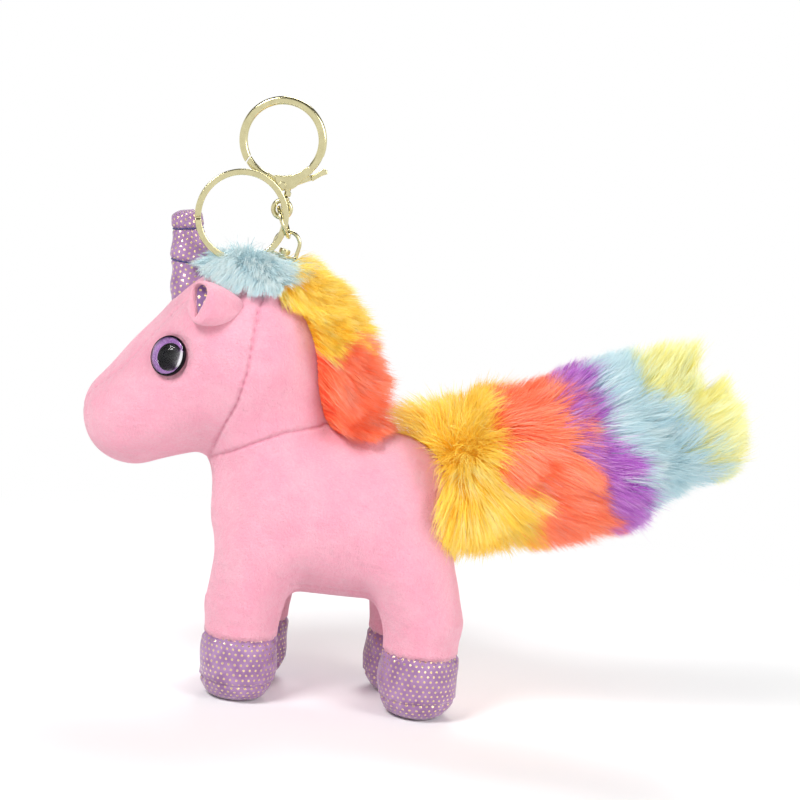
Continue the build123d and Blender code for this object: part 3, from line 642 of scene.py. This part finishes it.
thread = Shader("navy_thread", roughness=0.6, sheen_weight=0.3)
thread.colour(thread.mix(thread.noise(0.6, 2), "#241F52", "#4A3F86"))
thread.bump(thread.noise(0.25, 2), 0.4, 0.08)
horn_side, horn_other = frame_from(HORN_AXIS)
loops_v, loops_f = [], []
for height, lean in THREADS:
    ring = []
    for i in range(150):
        turn = 2 * math.pi * i / 150
        level = height
        for _ in range(4):
            level = height + math.tan(math.radians(-lean)) * horn_radius(level, turn) * math.cos(turn)
        dip = 0.16 * (math.sin(turn * 24) > 0.75)
        radius = horn_radius(level, turn) + 0.16 - dip
        spoke = horn_side * math.cos(turn) + horn_other * math.sin(turn)
        ring.append(HORN_BASE + HORN_AXIS * level + spoke * radius)
    v, f = tube(ring, 0.24, 9, 0.55, 3)
    loops_f += [tuple(i + sum(map(len, loops_v)) for i in face) for face in f]
    loops_v.append(v)
stitches = mesh_object("horn_thread", np.concatenate(loops_v), loops_f, thread.material, "toy")
stands_for(stitches, ["horn_stitches"])

# ---------- ears
HOLLOW_SHIFT = {LEFT: 0.9, RIGHT: -0.9}


def facing_out(faces, side):
    """The faces of a form that is mirrored on the right side, turned to face outward."""
    return [tuple(reversed(f)) for f in faces] if side == RIGHT else faces


for side_name, side in (("left", LEFT), ("right", RIGHT)):
    root, mouth = np.array([-50.6, side * 20.2, 117.2]), np.array([-61.0, side * 24.4, 118.0])
    facing = np.array([-0.68, side * 0.72, 0.14])
    facing /= np.linalg.norm(facing)
    long_way = np.array([-0.12, side * 0.12, 1.0])
    long_way -= facing * (long_way @ facing)
    long_way /= np.linalg.norm(long_way)
    short_way = np.cross(facing, long_way)
    columns = 72

    def ear_ring(t, shrink=0.0):
        """One ring of the ear's cone, t from 0 at the root to 1 at the mouth."""
        swell = math.sin(min(t, 1.0) * math.pi * 0.5) ** 0.75
        tall, wide = 1.6 + 4.8 * swell - shrink, 1.4 + 4.2 * swell - shrink
        at = root + (mouth - root) * t + np.array([0, 0, -0.4]) * math.sin(t * math.pi)
        ring = []
        for c in range(columns):
            turn = 2 * math.pi * c / columns
            fold = 1 - 0.16 * math.exp(-(((turn - 1.5 * math.pi) / 0.5) ** 2))
            up, across = long_way * math.cos(turn) * tall * fold, short_way * math.sin(turn) * wide * fold
            ring.append(at + up + across)
        return ring

    outer_rings = [ear_ring(t) for t in np.linspace(0.0, 1.0, 26)]
    outer_edge = np.array(ear_ring(1.0))
    hollow = np.array(ear_ring(1.0, 1.9))
    middle = hollow.mean(axis=0)
    tall, wide = (hollow - middle) @ long_way, (hollow - middle) @ short_way
    wide *= np.clip(0.6 + 0.5 * tall / tall.max(), 0.14, 1)  # narrows to a fold at its foot
    wide += HOLLOW_SHIFT[side]
    hollow = middle + tall[:, None] * long_way + wide[:, None] * short_way + long_way * 0.6
    for k in range(1, 9):
        turn = math.pi * k / 8
        share = (1 - math.cos(turn)) / 2
        outer_rings.append(list(outer_edge * (1 - share) + hollow * share + facing * 1.3 * math.sin(turn)))
    outer_rings.append(list(hollow - facing * 0.6))
    verts = np.array([v for ring in outer_rings for v in ring])
    verts += np.sin(verts[:, [2, 0, 1]] * 0.8) * 0.12
    faces = grid_faces(len(outer_rings), columns) + [tuple(reversed(range(columns)))]
    piece = mesh_object(f"ear_plush_{side_name}", verts, facing_out(faces, side), PLUSH, f"ear_{side_name}")
    stands_for(piece, [f"ear_outer_{side_name}"])

    deep_end = root + (mouth - root) * 0.45 + long_way * 0.5
    verts, weave = [], []
    for k in range(18):
        share = k / 17
        for c, v in enumerate(hollow):
            turn = 2 * math.pi * c / columns
            crumple = 0.35 * math.sin(3 * turn + 1.2) * math.sin(share * math.pi)
            at = v * (1 - share) + deep_end * share - facing * 0.2 + (v - hollow.mean(axis=0)) * 0.35 * share
            verts.append(at + short_way * crumple)
            weave.append((c * 0.3, k * 0.45))
    faces = grid_faces(18, columns) + [tuple(range(17 * columns, 18 * columns))]
    piece = mesh_object(
        f"ear_cloth_{side_name}", verts, facing_out(faces, side), LINING, f"ear_{side_name}", uv=weave
    )
    stands_for(piece, [f"ear_lining_{side_name}"])

# ---------- eyes
glitter = Shader("iris_glitter", roughness=0.3, metallic=0.55)
flake = glitter.node("ShaderNodeTexVoronoi")
flake.inputs["Scale"].default_value = 1 / 0.32
glitter.link(glitter.where(), flake.inputs["Vector"])
sparkle = glitter.ramp(flake.outputs["Distance"], 0.5, 0.12)
tone = glitter.mix(glitter.noise(1.6, 2), "#7B3C96", "#C48BD6")
glitter.colour(glitter.mix(glitter.math("MULTIPLY", sparkle, 0.75), tone, "#F0D4F4"))
black = Shader("gloss_black", roughness=0.12, specular_ior_level=0.1)
black.colour(black.mix(black.noise(3.0), "#050507", "#0D0C12"))
clear = Shader("clear_dome", roughness=0.02, ior=1.22, transmission_weight=1.0)
clear.colour(clear.mix(clear.noise(4.0), (1, 1, 1, 1), (0.97, 0.97, 0.99, 1)))
white_plastic = Shader("white_plastic", roughness=0.45)
white_plastic.colour(white_plastic.mix(white_plastic.noise(2.0), "#E8E8E4", "#DADAD6"))


def turned(profile, centre, axis, columns=96):
    """A closed form turned from (radius, height) points about an axis."""
    side, other = frame_from(axis)
    verts = [
        centre + axis * h + (side * math.cos(t) + other * math.sin(t)) * r
        for r, h in profile
        for t in np.linspace(0, 2 * math.pi, columns, endpoint=False)
    ]
    faces = grid_faces(len(profile), columns)
    last = (len(profile) - 1) * columns
    faces += [tuple(reversed(range(columns))), tuple(range(last, last + columns))]
    return np.array(verts), faces


def arc(radius, height, steps=14):
    """A dome's outline from its rim to near its top, on a circle through both."""
    ball = (radius**2 + height**2) / (2 * height)
    turn = math.asin(min(1.0, radius / ball))
    return [(ball * math.sin(a), ball * math.cos(a) - ball + height) for a in np.linspace(turn, 0.01, steps)]


RIM = [(1.2, -8.6), (1.2, -1.0), (5.6, -1.0), (5.95, -0.7), (6.0, 0.1)]  # each outline is (radius, height) points
RIM += [(5.85, 0.55), (5.5, 0.6), (5.3, 0.2), (0.3, 0.2)]
IRIS = [(5.45, 0.2), (5.45, 0.36), (3.6, 0.3), (0.3, 0.28)]
PUPIL = [(3.95, 0.3), (3.9, 0.4), (3.5, 0.44), (0.3, 0.45)]
DOME = [(5.5, 0.46), (5.65, 0.6)] + [(r, h + 0.6) for r, h in arc(5.6, 2.5)]
for side_name, (centre, normal) in EYES.items():
    pupil_shift = np.array([1.25, 0, -0.5])
    pupil_shift = pupil_shift - normal * (pupil_shift @ normal)
    v, f = turned(RIM, centre, normal)
    piece = mesh_object(f"eye_rim_{side_name}", v, f, black.material, "toy")
    stands_for(piece, [f"eye_base_{side_name}"])
    iris_v, iris_f = turned(IRIS, centre, normal)
    pupil_v, pupil_f = turned(PUPIL, centre + pupil_shift, normal)
    count = len(iris_v)
    piece = mesh_object(
        f"eye_iris_disc_{side_name}",
        np.concatenate([iris_v, pupil_v]),
        iris_f + [tuple(i + count for i in face) for face in pupil_f],
        [glitter.material, black.material],
        "toy",
    )
    marks = np.zeros(len(piece.data.polygons), dtype=np.int32)
    marks[len(iris_f) :] = 1
    piece.data.polygons.foreach_set("material_index", marks)
    stands_for(piece, [f"eye_iris_{side_name}"])
    v, f = turned(DOME, centre, normal)
    piece = mesh_object(f"eye_dome_{side_name}", v, f, clear.material, "toy")
    stands_for(piece, [f"eye_lens_{side_name}"])


# ---------- fur
def unit(v):
    """Each vector at a length of one."""
    return v / np.maximum(np.linalg.norm(v, axis=-1, keepdims=True), 1e-9)


def swirl(points, size, rng, waves=10):
    """A gently varying random vector at each point, its swirls about size millimetres across."""
    out = np.zeros((len(points), 3))
    for _ in range(waves):
        wave = unit(rng.normal(size=3)) * (2 * math.pi / (size * rng.uniform(0.8, 1.8)))
        out += np.sin(points @ wave + rng.uniform(0, 2 * math.pi))[:, None] * unit(rng.normal(size=3))
    return out / math.sqrt(waves)


def nearest(points, centres):
    """The index of the nearest centre to each point."""
    out = np.empty(len(points), dtype=np.int64)
    for start in range(0, len(points), 4000):
        block = points[start : start + 4000]
        out[start : start + 4000] = np.argmin(((block[:, None] - centres[None]) ** 2).sum(-1), axis=1)
    return out


def gathered(paths, clump, grip):
    """The paths drawn towards the middle of their tuft, more and more to the tip."""
    tufts = clump.max() + 1
    total, count = np.zeros((tufts, *paths.shape[1:])), np.zeros(tufts)
    np.add.at(total, clump, paths)
    np.add.at(count, clump, 1)
    middle = (total / np.maximum(count, 1)[:, None, None])[clump]
    s = np.linspace(0, 1, paths.shape[1])[None, :, None]
    return paths + (middle - paths) * (grip[:, None, None] * s**1.2)


def pushed_out(paths, gap):
    """Moves the points that are inside the toy out to its skin."""
    flat = paths.reshape(-1, 3)
    inside = toy_distance(flat) < gap
    for _ in range(2):
        d, n = gradient(toy_distance, flat[inside], 0.05)
        flat[inside] += n * np.maximum(gap - d, 0)[:, None]
    return flat.reshape(paths.shape)


def grow(roots, lift, lay, length, rng, wave=0.45, points=6):
    """Centre lines of strands that rise along lift, bend over to lay and gather into tufts of two sizes."""
    count = len(roots)
    s = np.linspace(0, 1, points)[None, :, None]
    mid = roots + unit(lift) * length[:, None] * 0.45
    tip = mid + unit(lay) * length[:, None] * 0.62
    paths = (1 - s) ** 2 * roots[:, None] + 2 * s * (1 - s) * mid[:, None] + s**2 * tip[:, None]
    for size, hold in ((260, 0.34), (26, 0.42)):
        clump = nearest(mid, mid[rng.choice(count, max(8, count // size), replace=False)])
        paths = gathered(paths, clump, np.clip(rng.normal(hold, 0.14, count), 0, 0.9))
    phase = rng.uniform(0, 2 * math.pi, (count, 1, 3))
    paths = paths + wave * s**1.1 * np.sin(2 * math.pi * rng.uniform(0.4, 1.2, (count, 1, 3)) * s + phase)
    return paths, clump


def fur_mesh(name, paths, outward, width, shade, materials, body):
    """Flat tapering strands along the paths, turned to face outward; painted shade deepens each root, painted
    light pales each tip.
    """
    count, points = paths.shape[:2]
    tangent = unit(np.gradient(paths, axis=1))
    side = unit(np.cross(tangent, outward[:, None, :]))
    half = width[:, None] * np.linspace(1, 0, points)[None] ** 0.6 * 0.5
    pairs = np.stack([paths - side * half[..., None], paths + side * half[..., None]], axis=2)[:, :-1]
    vertices = np.concatenate([pairs.reshape(count, -1, 3), paths[:, -1:]], axis=1)
    per = vertices.shape[1]
    quads = np.array([(2 * r, 2 * r + 1, 2 * r + 3, 2 * r + 2) for r in range(points - 2)])
    ends = np.array([(per - 3, per - 2, per - 1)])
    offset = (np.arange(count) * per)[:, None]
    loops = np.concatenate([quads.ravel()[None] + offset, ends.ravel()[None] + offset], axis=1).ravel()
    starts = np.concatenate([[0], np.cumsum(np.tile([4] * len(quads) + [3], count))[:-1]])
    # painted shade and light: root faces step to deeper shades, tip faces to paler ones
    steps = np.round(np.linspace(-1.2, 1.4, len(quads) + 1)).astype(int)
    index = np.clip(shade[:, None] + steps[None], 0, len(materials) - 1).ravel()
    mesh = bpy.data.meshes.new(name)
    mesh.vertices.add(count * per)
    mesh.vertices.foreach_set("co", (vertices * MM).ravel())
    mesh.loops.add(len(loops))
    mesh.loops.foreach_set("vertex_index", loops)
    mesh.polygons.add(len(starts))
    mesh.polygons.foreach_set("loop_start", starts)
    mesh.polygons.foreach_set("material_index", index)
    mesh.polygons.foreach_set("use_smooth", np.ones(len(starts), bool))
    for m in materials:
        mesh.materials.append(m)
    mesh.update(calc_edges=True)
    return placed(name, mesh, body)


def shades_of(clump, count, rng, mean=2.4):
    """A shade for each strand, alike within a tuft."""
    of_tuft = rng.normal(mean, 0.9, clump.max() + 1)[clump]
    return np.clip(of_tuft + rng.normal(0, 0.6, count), 0, 5).astype(int)


SPARSE = 1.0
FIBRE_WIDTH = (0.2, 0.36)
TAIL_SIDE = np.array([0.0, 1.0, 0.0])
TAIL_UP = np.array([-TAIL_AXIS[2], 0, TAIL_AXIS[0]])


# how far the pile leans back along the tail, by length along it
SWEEP = (
    [-8, -4, 1, 6, 20, 45, 60, 72, 78],
    [-0.95, -0.6, 0.15, 0.5, 0.75, 0.65, 0.5, 0.6, 1.0],
)


def tail_outline(along, rise):
    """The fur's reach from the axis, along the tail and by how far its direction rises, from -1 to 1."""
    top = np.interp(along, [-6, 2, 17, 30, 43, 60, 70, 80], [26, 28, 25, 28, 28.5, 30, 27, 14])
    low = np.interp(along, [-6, 2, 17, 40, 48, 60, 74, 80], [23, 26, 28, 27, 19, 17.5, 15, 8])
    across = np.interp(along, [-6, 2, 17, 43, 60, 72, 80], [23, 26, 26, 26, 24, 20, 10])
    up = np.clip(rise, 0, 1) ** 2
    down = np.clip(-rise, 0, 1) ** 2
    return top * up + low * down + across * (1 - up - down)


def tail_fur(name, low, high, colours, count, node, seed, capped=0.0):
    """A band of the tail's fur between two lengths along it, each given below, beside and above the axis."""
    rng = np.random.default_rng(seed)
    count = int(count * SPARSE)
    turn = rng.uniform(0, 2 * math.pi, count)
    rise = np.sin(turn)
    low, high = (np.interp(rise, [-1, 0, 1], edge) for edge in (low, high))
    along = low + (high - low) * rng.uniform(0, 1, count) + rng.normal(0, 0.9, count)
    outward = np.cos(turn)[:, None] * TAIL_SIDE + rise[:, None] * TAIL_UP
    outline = tail_outline(along, rise)
    depth = rng.uniform(0.24, 0.66, count)
    end = rng.uniform(0, 1, count) < capped  # strands of the tail's closed end, which point on along it
    along = np.where(end, rng.uniform(67, 73.5, count), along)
    depth = np.where(end, rng.uniform(0.0, 0.34, count), depth)
    roots = TAIL_PIVOT + TAIL_AXIS * along[:, None] + outward * (outline * depth)[:, None]
    lean = np.interp(along, *SWEEP)[:, None]
    flow = swirl(roots, 13, rng)
    wild = 1 + 1.3 * np.exp(-(((along - 1) / 8) ** 2))[:, None]  # tangled where the pile parts over the seam
    lift = outward + TAIL_AXIS * lean * 0.5 + 0.3 * flow * wild
    beside = np.abs(np.cos(turn))[:, None] ** 2
    droop = np.interp(along, [-6, 20, 45, 60], [0.75, 0.45, 0.2, -0.25])[:, None]
    lay = outward * (0.78 - 0.3 * beside) + TAIL_AXIS * (lean + 0.25 * beside)
    lay -= TAIL_UP * droop * (0.25 + beside)
    lay += 0.5 * flow * wild + rng.normal(0, 0.13, (count, 3))
    splay = outward * rng.uniform(0.0, 1.0, (count, 1)) + 0.4 * flow
    lift, lay = (np.where(end[:, None], TAIL_AXIS + splay * k, v) for k, v in ((0.4, lift), (1.0, lay)))
    reach = 0.45 * np.sum(unit(lift) * outward, axis=1) + 0.62 * np.sum(unit(lay) * outward, axis=1)
    length = outline * (1 - depth) / np.clip(reach, 0.42, 1.2) * rng.uniform(0.8, 1.12, count)
    length = np.where(end, rng.uniform(10, 15, count), np.clip(length, 9, 27))
    paths, clump = grow(roots, lift, lay, length, rng)
    paths = pushed_out(paths, 0.6)
    faces = unit(outward + rng.normal(0, 0.45, (count, 3)))
    width = rng.uniform(*FIBRE_WIDTH, count)
    piece = fur_mesh(name, paths, faces, width, shades_of(clump, count, rng), colours, "tail")
    stands_for(piece, [node])


# band, colour, start and end along the tail below, beside and above its axis, strands, seed, closed end's share
for band, colour, low, high, count, seed, capped in (
    ("yellow", "yellow", (-6, -4, -6), (12, 9.5, 7.5), 21000, 11, 0.0),
    ("orange", "orange", (10, 8, 7), (33, 30, 24), 21500, 12, 0.0),
    ("purple", "purple", (32, 29, 23), (44, 39, 34), 14000, 13, 0.0),
    ("blue", "blue", (43, 38, 33), (72, 63, 49), 21500, 14, 0.0),
    ("tip", "pale_yellow", (70, 61, 48), (73, 71, 69), 15000, 15, 0.3),
):
    tail_fur(f"tail_pile_{band}", low, high, FUR[colour], count, f"tail_fur_{band}", seed, capped)

MANE_LINE = np.array([  # the crown's line from the horn to the withers
    (-63, 125.0), (-57, 127.3), (-49.5, 128.5), (-42, 127.4), (-34, 123.6), (-28, 117.6),
    (-24.4, 110), (-23.2, 102), (-21.6, 95), (-18.5, 89.5), (-13.5, 85),
])
MANE_RUN = np.concatenate([[0], np.cumsum(np.hypot(*np.diff(MANE_LINE, axis=0).T))])
MANE_LAY = {  # length along the crown's line: lay in x, lay in z, strand length, half width of the root strip
    0: (-0.6, 0.15, 10, 7.0),
    12: (-0.1, 0.05, 14, 16.5),
    24: (0.6, -0.05, 13, 17.5),
    36: (0.9, -0.05, 13, 18.0),
    47: (1.0, -0.15, 15.5, 18.0),
    60: (1.0, -0.3, 20, 16.0),
    70: (0.9, -0.35, 19, 13.5),
    78: (0.8, -0.45, 15, 10.0),
}


def mane_fur(name, low, high, colours, count, nodes, seed, mean):
    """A band of the mane between two lengths along the crown's line."""
    rng = np.random.default_rng(seed)
    count = int(count * SPARSE)
    run = rng.uniform(low, high, count) + rng.normal(0, 0.8, count)
    lay_x, lay_z, long, half = (np.interp(run, list(MANE_LAY), column) for column in zip(*MANE_LAY.values()))
    edge = rng.uniform(-1, 1, count)
    line_x, line_z = (np.interp(run, MANE_RUN, column) for column in MANE_LINE.T)
    base = np.stack([line_x, edge * half, line_z], axis=1)
    for _ in range(3):
        d, n = gradient(toy_distance, base)
        base = base - n * (d - 0.4)[:, None]
    out = np.abs(edge)
    fall = np.interp(run, [0, 20, 34, 60], [1.0, 0.9, 0.55, 0.35])
    lay = np.stack([lay_x * (1 - 0.25 * out), 1.0 * edge, lay_z - fall * out**1.5], axis=1)
    flow = swirl(base, 12, rng)
    lay = lay + 0.4 * flow + rng.normal(0, 0.14, (count, 3))
    lift = n * (1.0 - 0.45 * out[:, None]) + lay * 0.5 + 0.2 * flow
    length = long * (1 - 0.3 * out) * rng.uniform(0.72, 1.12, count)
    paths, clump = grow(base, lift, lay, length, rng)
    paths = pushed_out(paths, 0.5)
    faces = unit(n + rng.normal(0, 0.45, (count, 3)))
    width = rng.uniform(*FIBRE_WIDTH, count)
    piece = fur_mesh(name, paths, faces, width, shades_of(clump, count, rng, mean), colours, "toy")
    stands_for(piece, nodes)


for band, low, high, count, nodes, seed, mean in (
    # the blue crown's strands take paler shades (mean 3.6) as painted light, offsetting the shade among its
    # strands
    ("blue", 2.0, 25.0, 15000, ["mane_fur_blue", "mane_backing"], 21, 3.6),
    ("yellow", 24.0, 49.0, 19000, ["mane_fur_yellow"], 22, 2.4),
    ("orange", 48.0, 76.0, 20000, ["mane_fur_orange"], 23, 2.4),
):
    mane_fur(f"mane_pile_{band}", low, high, FUR[band], count, nodes, seed, mean)

# ---------- pieces whose part shape is right
steel = metal_material("spring_wire", "#C9C9C6", 0.25)
stuffing = Shader("polyester_fibre", roughness=0.95, sheen_weight=0.4)
stuffing.colour(stuffing.mix(stuffing.noise(1.2, 4, 0.7), "#F4F3EF", "#DEDCD6"))
stuffing.bump(stuffing.noise(0.8, 4, 0.7), 0.5, 0.5)
backing = Shader("knitted_backing", roughness=0.9, sheen_weight=0.4)
backing.colour(backing.mix(backing.noise(1.0, 4, 0.7), "#E6DE8A", "#C9BE66"))
backing.bump(backing.noise(0.6, 3, 0.7), 0.5, 0.4)


FITTING_VOXEL = 0.13
WORN = 0.05  # how far a rounded fitting stands inside its solid, so that links at their limits don't touch


def rounded_fitting(node, body, rounds):
    """A cast fitting with its edges rubbed round by plating and polishing."""
    copy = bpy.data.objects.new("cast", frame["nodes"][node].data.copy())
    add_to_scene(copy)
    copy.modifiers.new("skin", "REMESH").voxel_size = FITTING_VOXEL * MM
    rub = copy.modifiers.new("rub", "SMOOTH")
    rub.factor, rub.iterations = 0.5, rounds
    mesh = bpy.data.meshes.new_from_object(copy.evaluated_get(bpy.context.evaluated_depsgraph_get()))
    bpy.data.objects.remove(copy)
    co, normals = np.empty(len(mesh.vertices) * 3), np.empty(len(mesh.vertices) * 3, np.float32)
    mesh.vertices.foreach_get("co", co)
    mesh.vertex_normals.foreach_get("vector", normals)
    mesh.vertices.foreach_set("co", co - normals * WORN * MM)
    mesh.materials.clear()
    mesh.materials.append(GOLD)
    mesh.polygons.foreach_set("use_smooth", np.ones(len(mesh.polygons), bool))
    stands_for(placed(f"{node}_plated", mesh, body), [node])


BODY_OF = {node: body for body, nodes in frame["record"]["behaviour"]["bodies"].items() for node in nodes}
RUBBED = {"key_ring": 22, "clasp_hook": 18, "clasp_gate": 12, "clasp_eye": 8, "swivel_bow": 6}  # smoothing rounds
for node, rounds in RUBBED.items():
    rounded_fitting(node, BODY_OF[node], rounds)

FINISHES = {
    backing.material: ["tail_stuffing"],
    GOLD: ["crown_post", "jump_ring", "clasp_rivet"],
    steel: ["clasp_spring"],
    white_plastic.material: ["eye_washer_left", "eye_washer_right", "crown_washer"],
    PLUSH: ["tail_root_collar"],
    stuffing.material: [n for n in frame["nodes"] if "stuffing" in n and n != "tail_stuffing"],
}
for material, nodes in FINISHES.items():
    for node in nodes:
        for slot in frame["nodes"][node].material_slots:
            slot.material = material

# ---------- floor, light and camera
floor_mesh = bpy.data.meshes.new("floor")
floor_form = bmesh.new()
bmesh.ops.create_circle(floor_form, cap_ends=True, radius=4.0, segments=96)
floor_form.to_mesh(floor_mesh)
floor_form.free()
floor = bpy.data.objects.new("floor", floor_mesh)
add_to_scene(floor)
paper = Shader("pale_paper", roughness=0.9)
paper.colour(paper.mix(paper.noise(60), "#F9F9F9", "#F3F3F4"))
place = paper.node("ShaderNodeTexCoord")
apart = paper.node("ShaderNodeVectorMath", operation="LENGTH")
paper.link(place.outputs["Object"], apart.inputs[0])
far = paper.node("ShaderNodeMapRange", interpolation_type="SMOOTHSTEP")
far.inputs["From Min"].default_value, far.inputs["From Max"].default_value = 0.06, 0.3
paper.link(apart.outputs["Value"], far.inputs["Value"])
glow = paper.node("ShaderNodeEmission")
both = paper.node("ShaderNodeMixShader")
paper.link(far.outputs["Result"], both.inputs[0])
paper.link(paper.main.outputs[0], both.inputs[1])
paper.link(glow.outputs[0], both.inputs[2])
paper.link(both.outputs[0], paper.tree.nodes["Material Output"].inputs["Surface"])
floor_mesh.materials.append(paper.material)

world = bpy.data.worlds.new("studio")
bpy.context.scene.world = world
world.use_nodes = True
sky = world.node_tree.nodes
direction, level = sky.new("ShaderNodeTexCoord"), sky.new("ShaderNodeSeparateXYZ")
height, shade_of_sky = sky.new("ShaderNodeMapRange"), sky.new("ShaderNodeMix")
height.interpolation_type = "SMOOTHSTEP"
height.inputs["From Min"].default_value, height.inputs["From Max"].default_value = 0.2, 0.5
shade_of_sky.data_type = "RGBA"
shade_of_sky.inputs[6].default_value, shade_of_sky.inputs[7].default_value = (1, 1, 1, 1), (0.1, 0.1, 0.1, 1)
for source, target in (
    (direction.outputs["Generated"], level.inputs[0]),
    (level.outputs["Z"], height.inputs["Value"]),
    (height.outputs["Result"], shade_of_sky.inputs[0]),
    (shade_of_sky.outputs[2], sky["Background"].inputs["Color"]),
):
    world.node_tree.links.new(source, target)


def area_light(name, at, target, size, power):
    data = bpy.data.lights.new(name, "AREA")
    data.shape, data.size, data.energy = "SQUARE", size, power
    lamp = bpy.data.objects.new(name, data)
    lamp.location = Vector(at)
    lamp.rotation_euler = (Vector(target) - Vector(at)).to_track_quat("-Z", "Y").to_euler()
    add_to_scene(lamp)


area_light("key", (-0.45, -0.55, 0.8), (0, 0, 0.09), 0.35, 7.6)
area_light("fill", (0.7, -0.5, 0.5), (0, 0, 0.09), 0.45, 4.5)
area_light("back", (0.1, 0.6, 0.9), (0, 0, 0.1), 0.5, 6.5)

DISTANCE, RAISED, ROLL = 0.65, math.radians(8), math.radians(6)
SEEN_WIDTH = 0.240  # what the picture spans at the toy, in metres
aim = Vector((-1.7, 0, 92.5)) * MM
camera = bpy.data.objects.new("camera", bpy.data.cameras.new("camera"))
add_to_scene(camera)
camera.location = aim + Vector((0, -math.cos(RAISED), math.sin(RAISED))) * DISTANCE
facing = (aim - camera.location).to_track_quat("-Z", "Y").to_matrix().to_4x4()
camera.rotation_euler = (facing @ Matrix.Rotation(ROLL, 4, "Z")).to_euler()
camera.data.sensor_width = 36
camera.data.lens = camera.data.sensor_width * DISTANCE / SEEN_WIDTH
camera.data.clip_end = 20
bpy.context.scene.camera = camera
bpy.context.scene.view_settings.view_transform = "Standard"
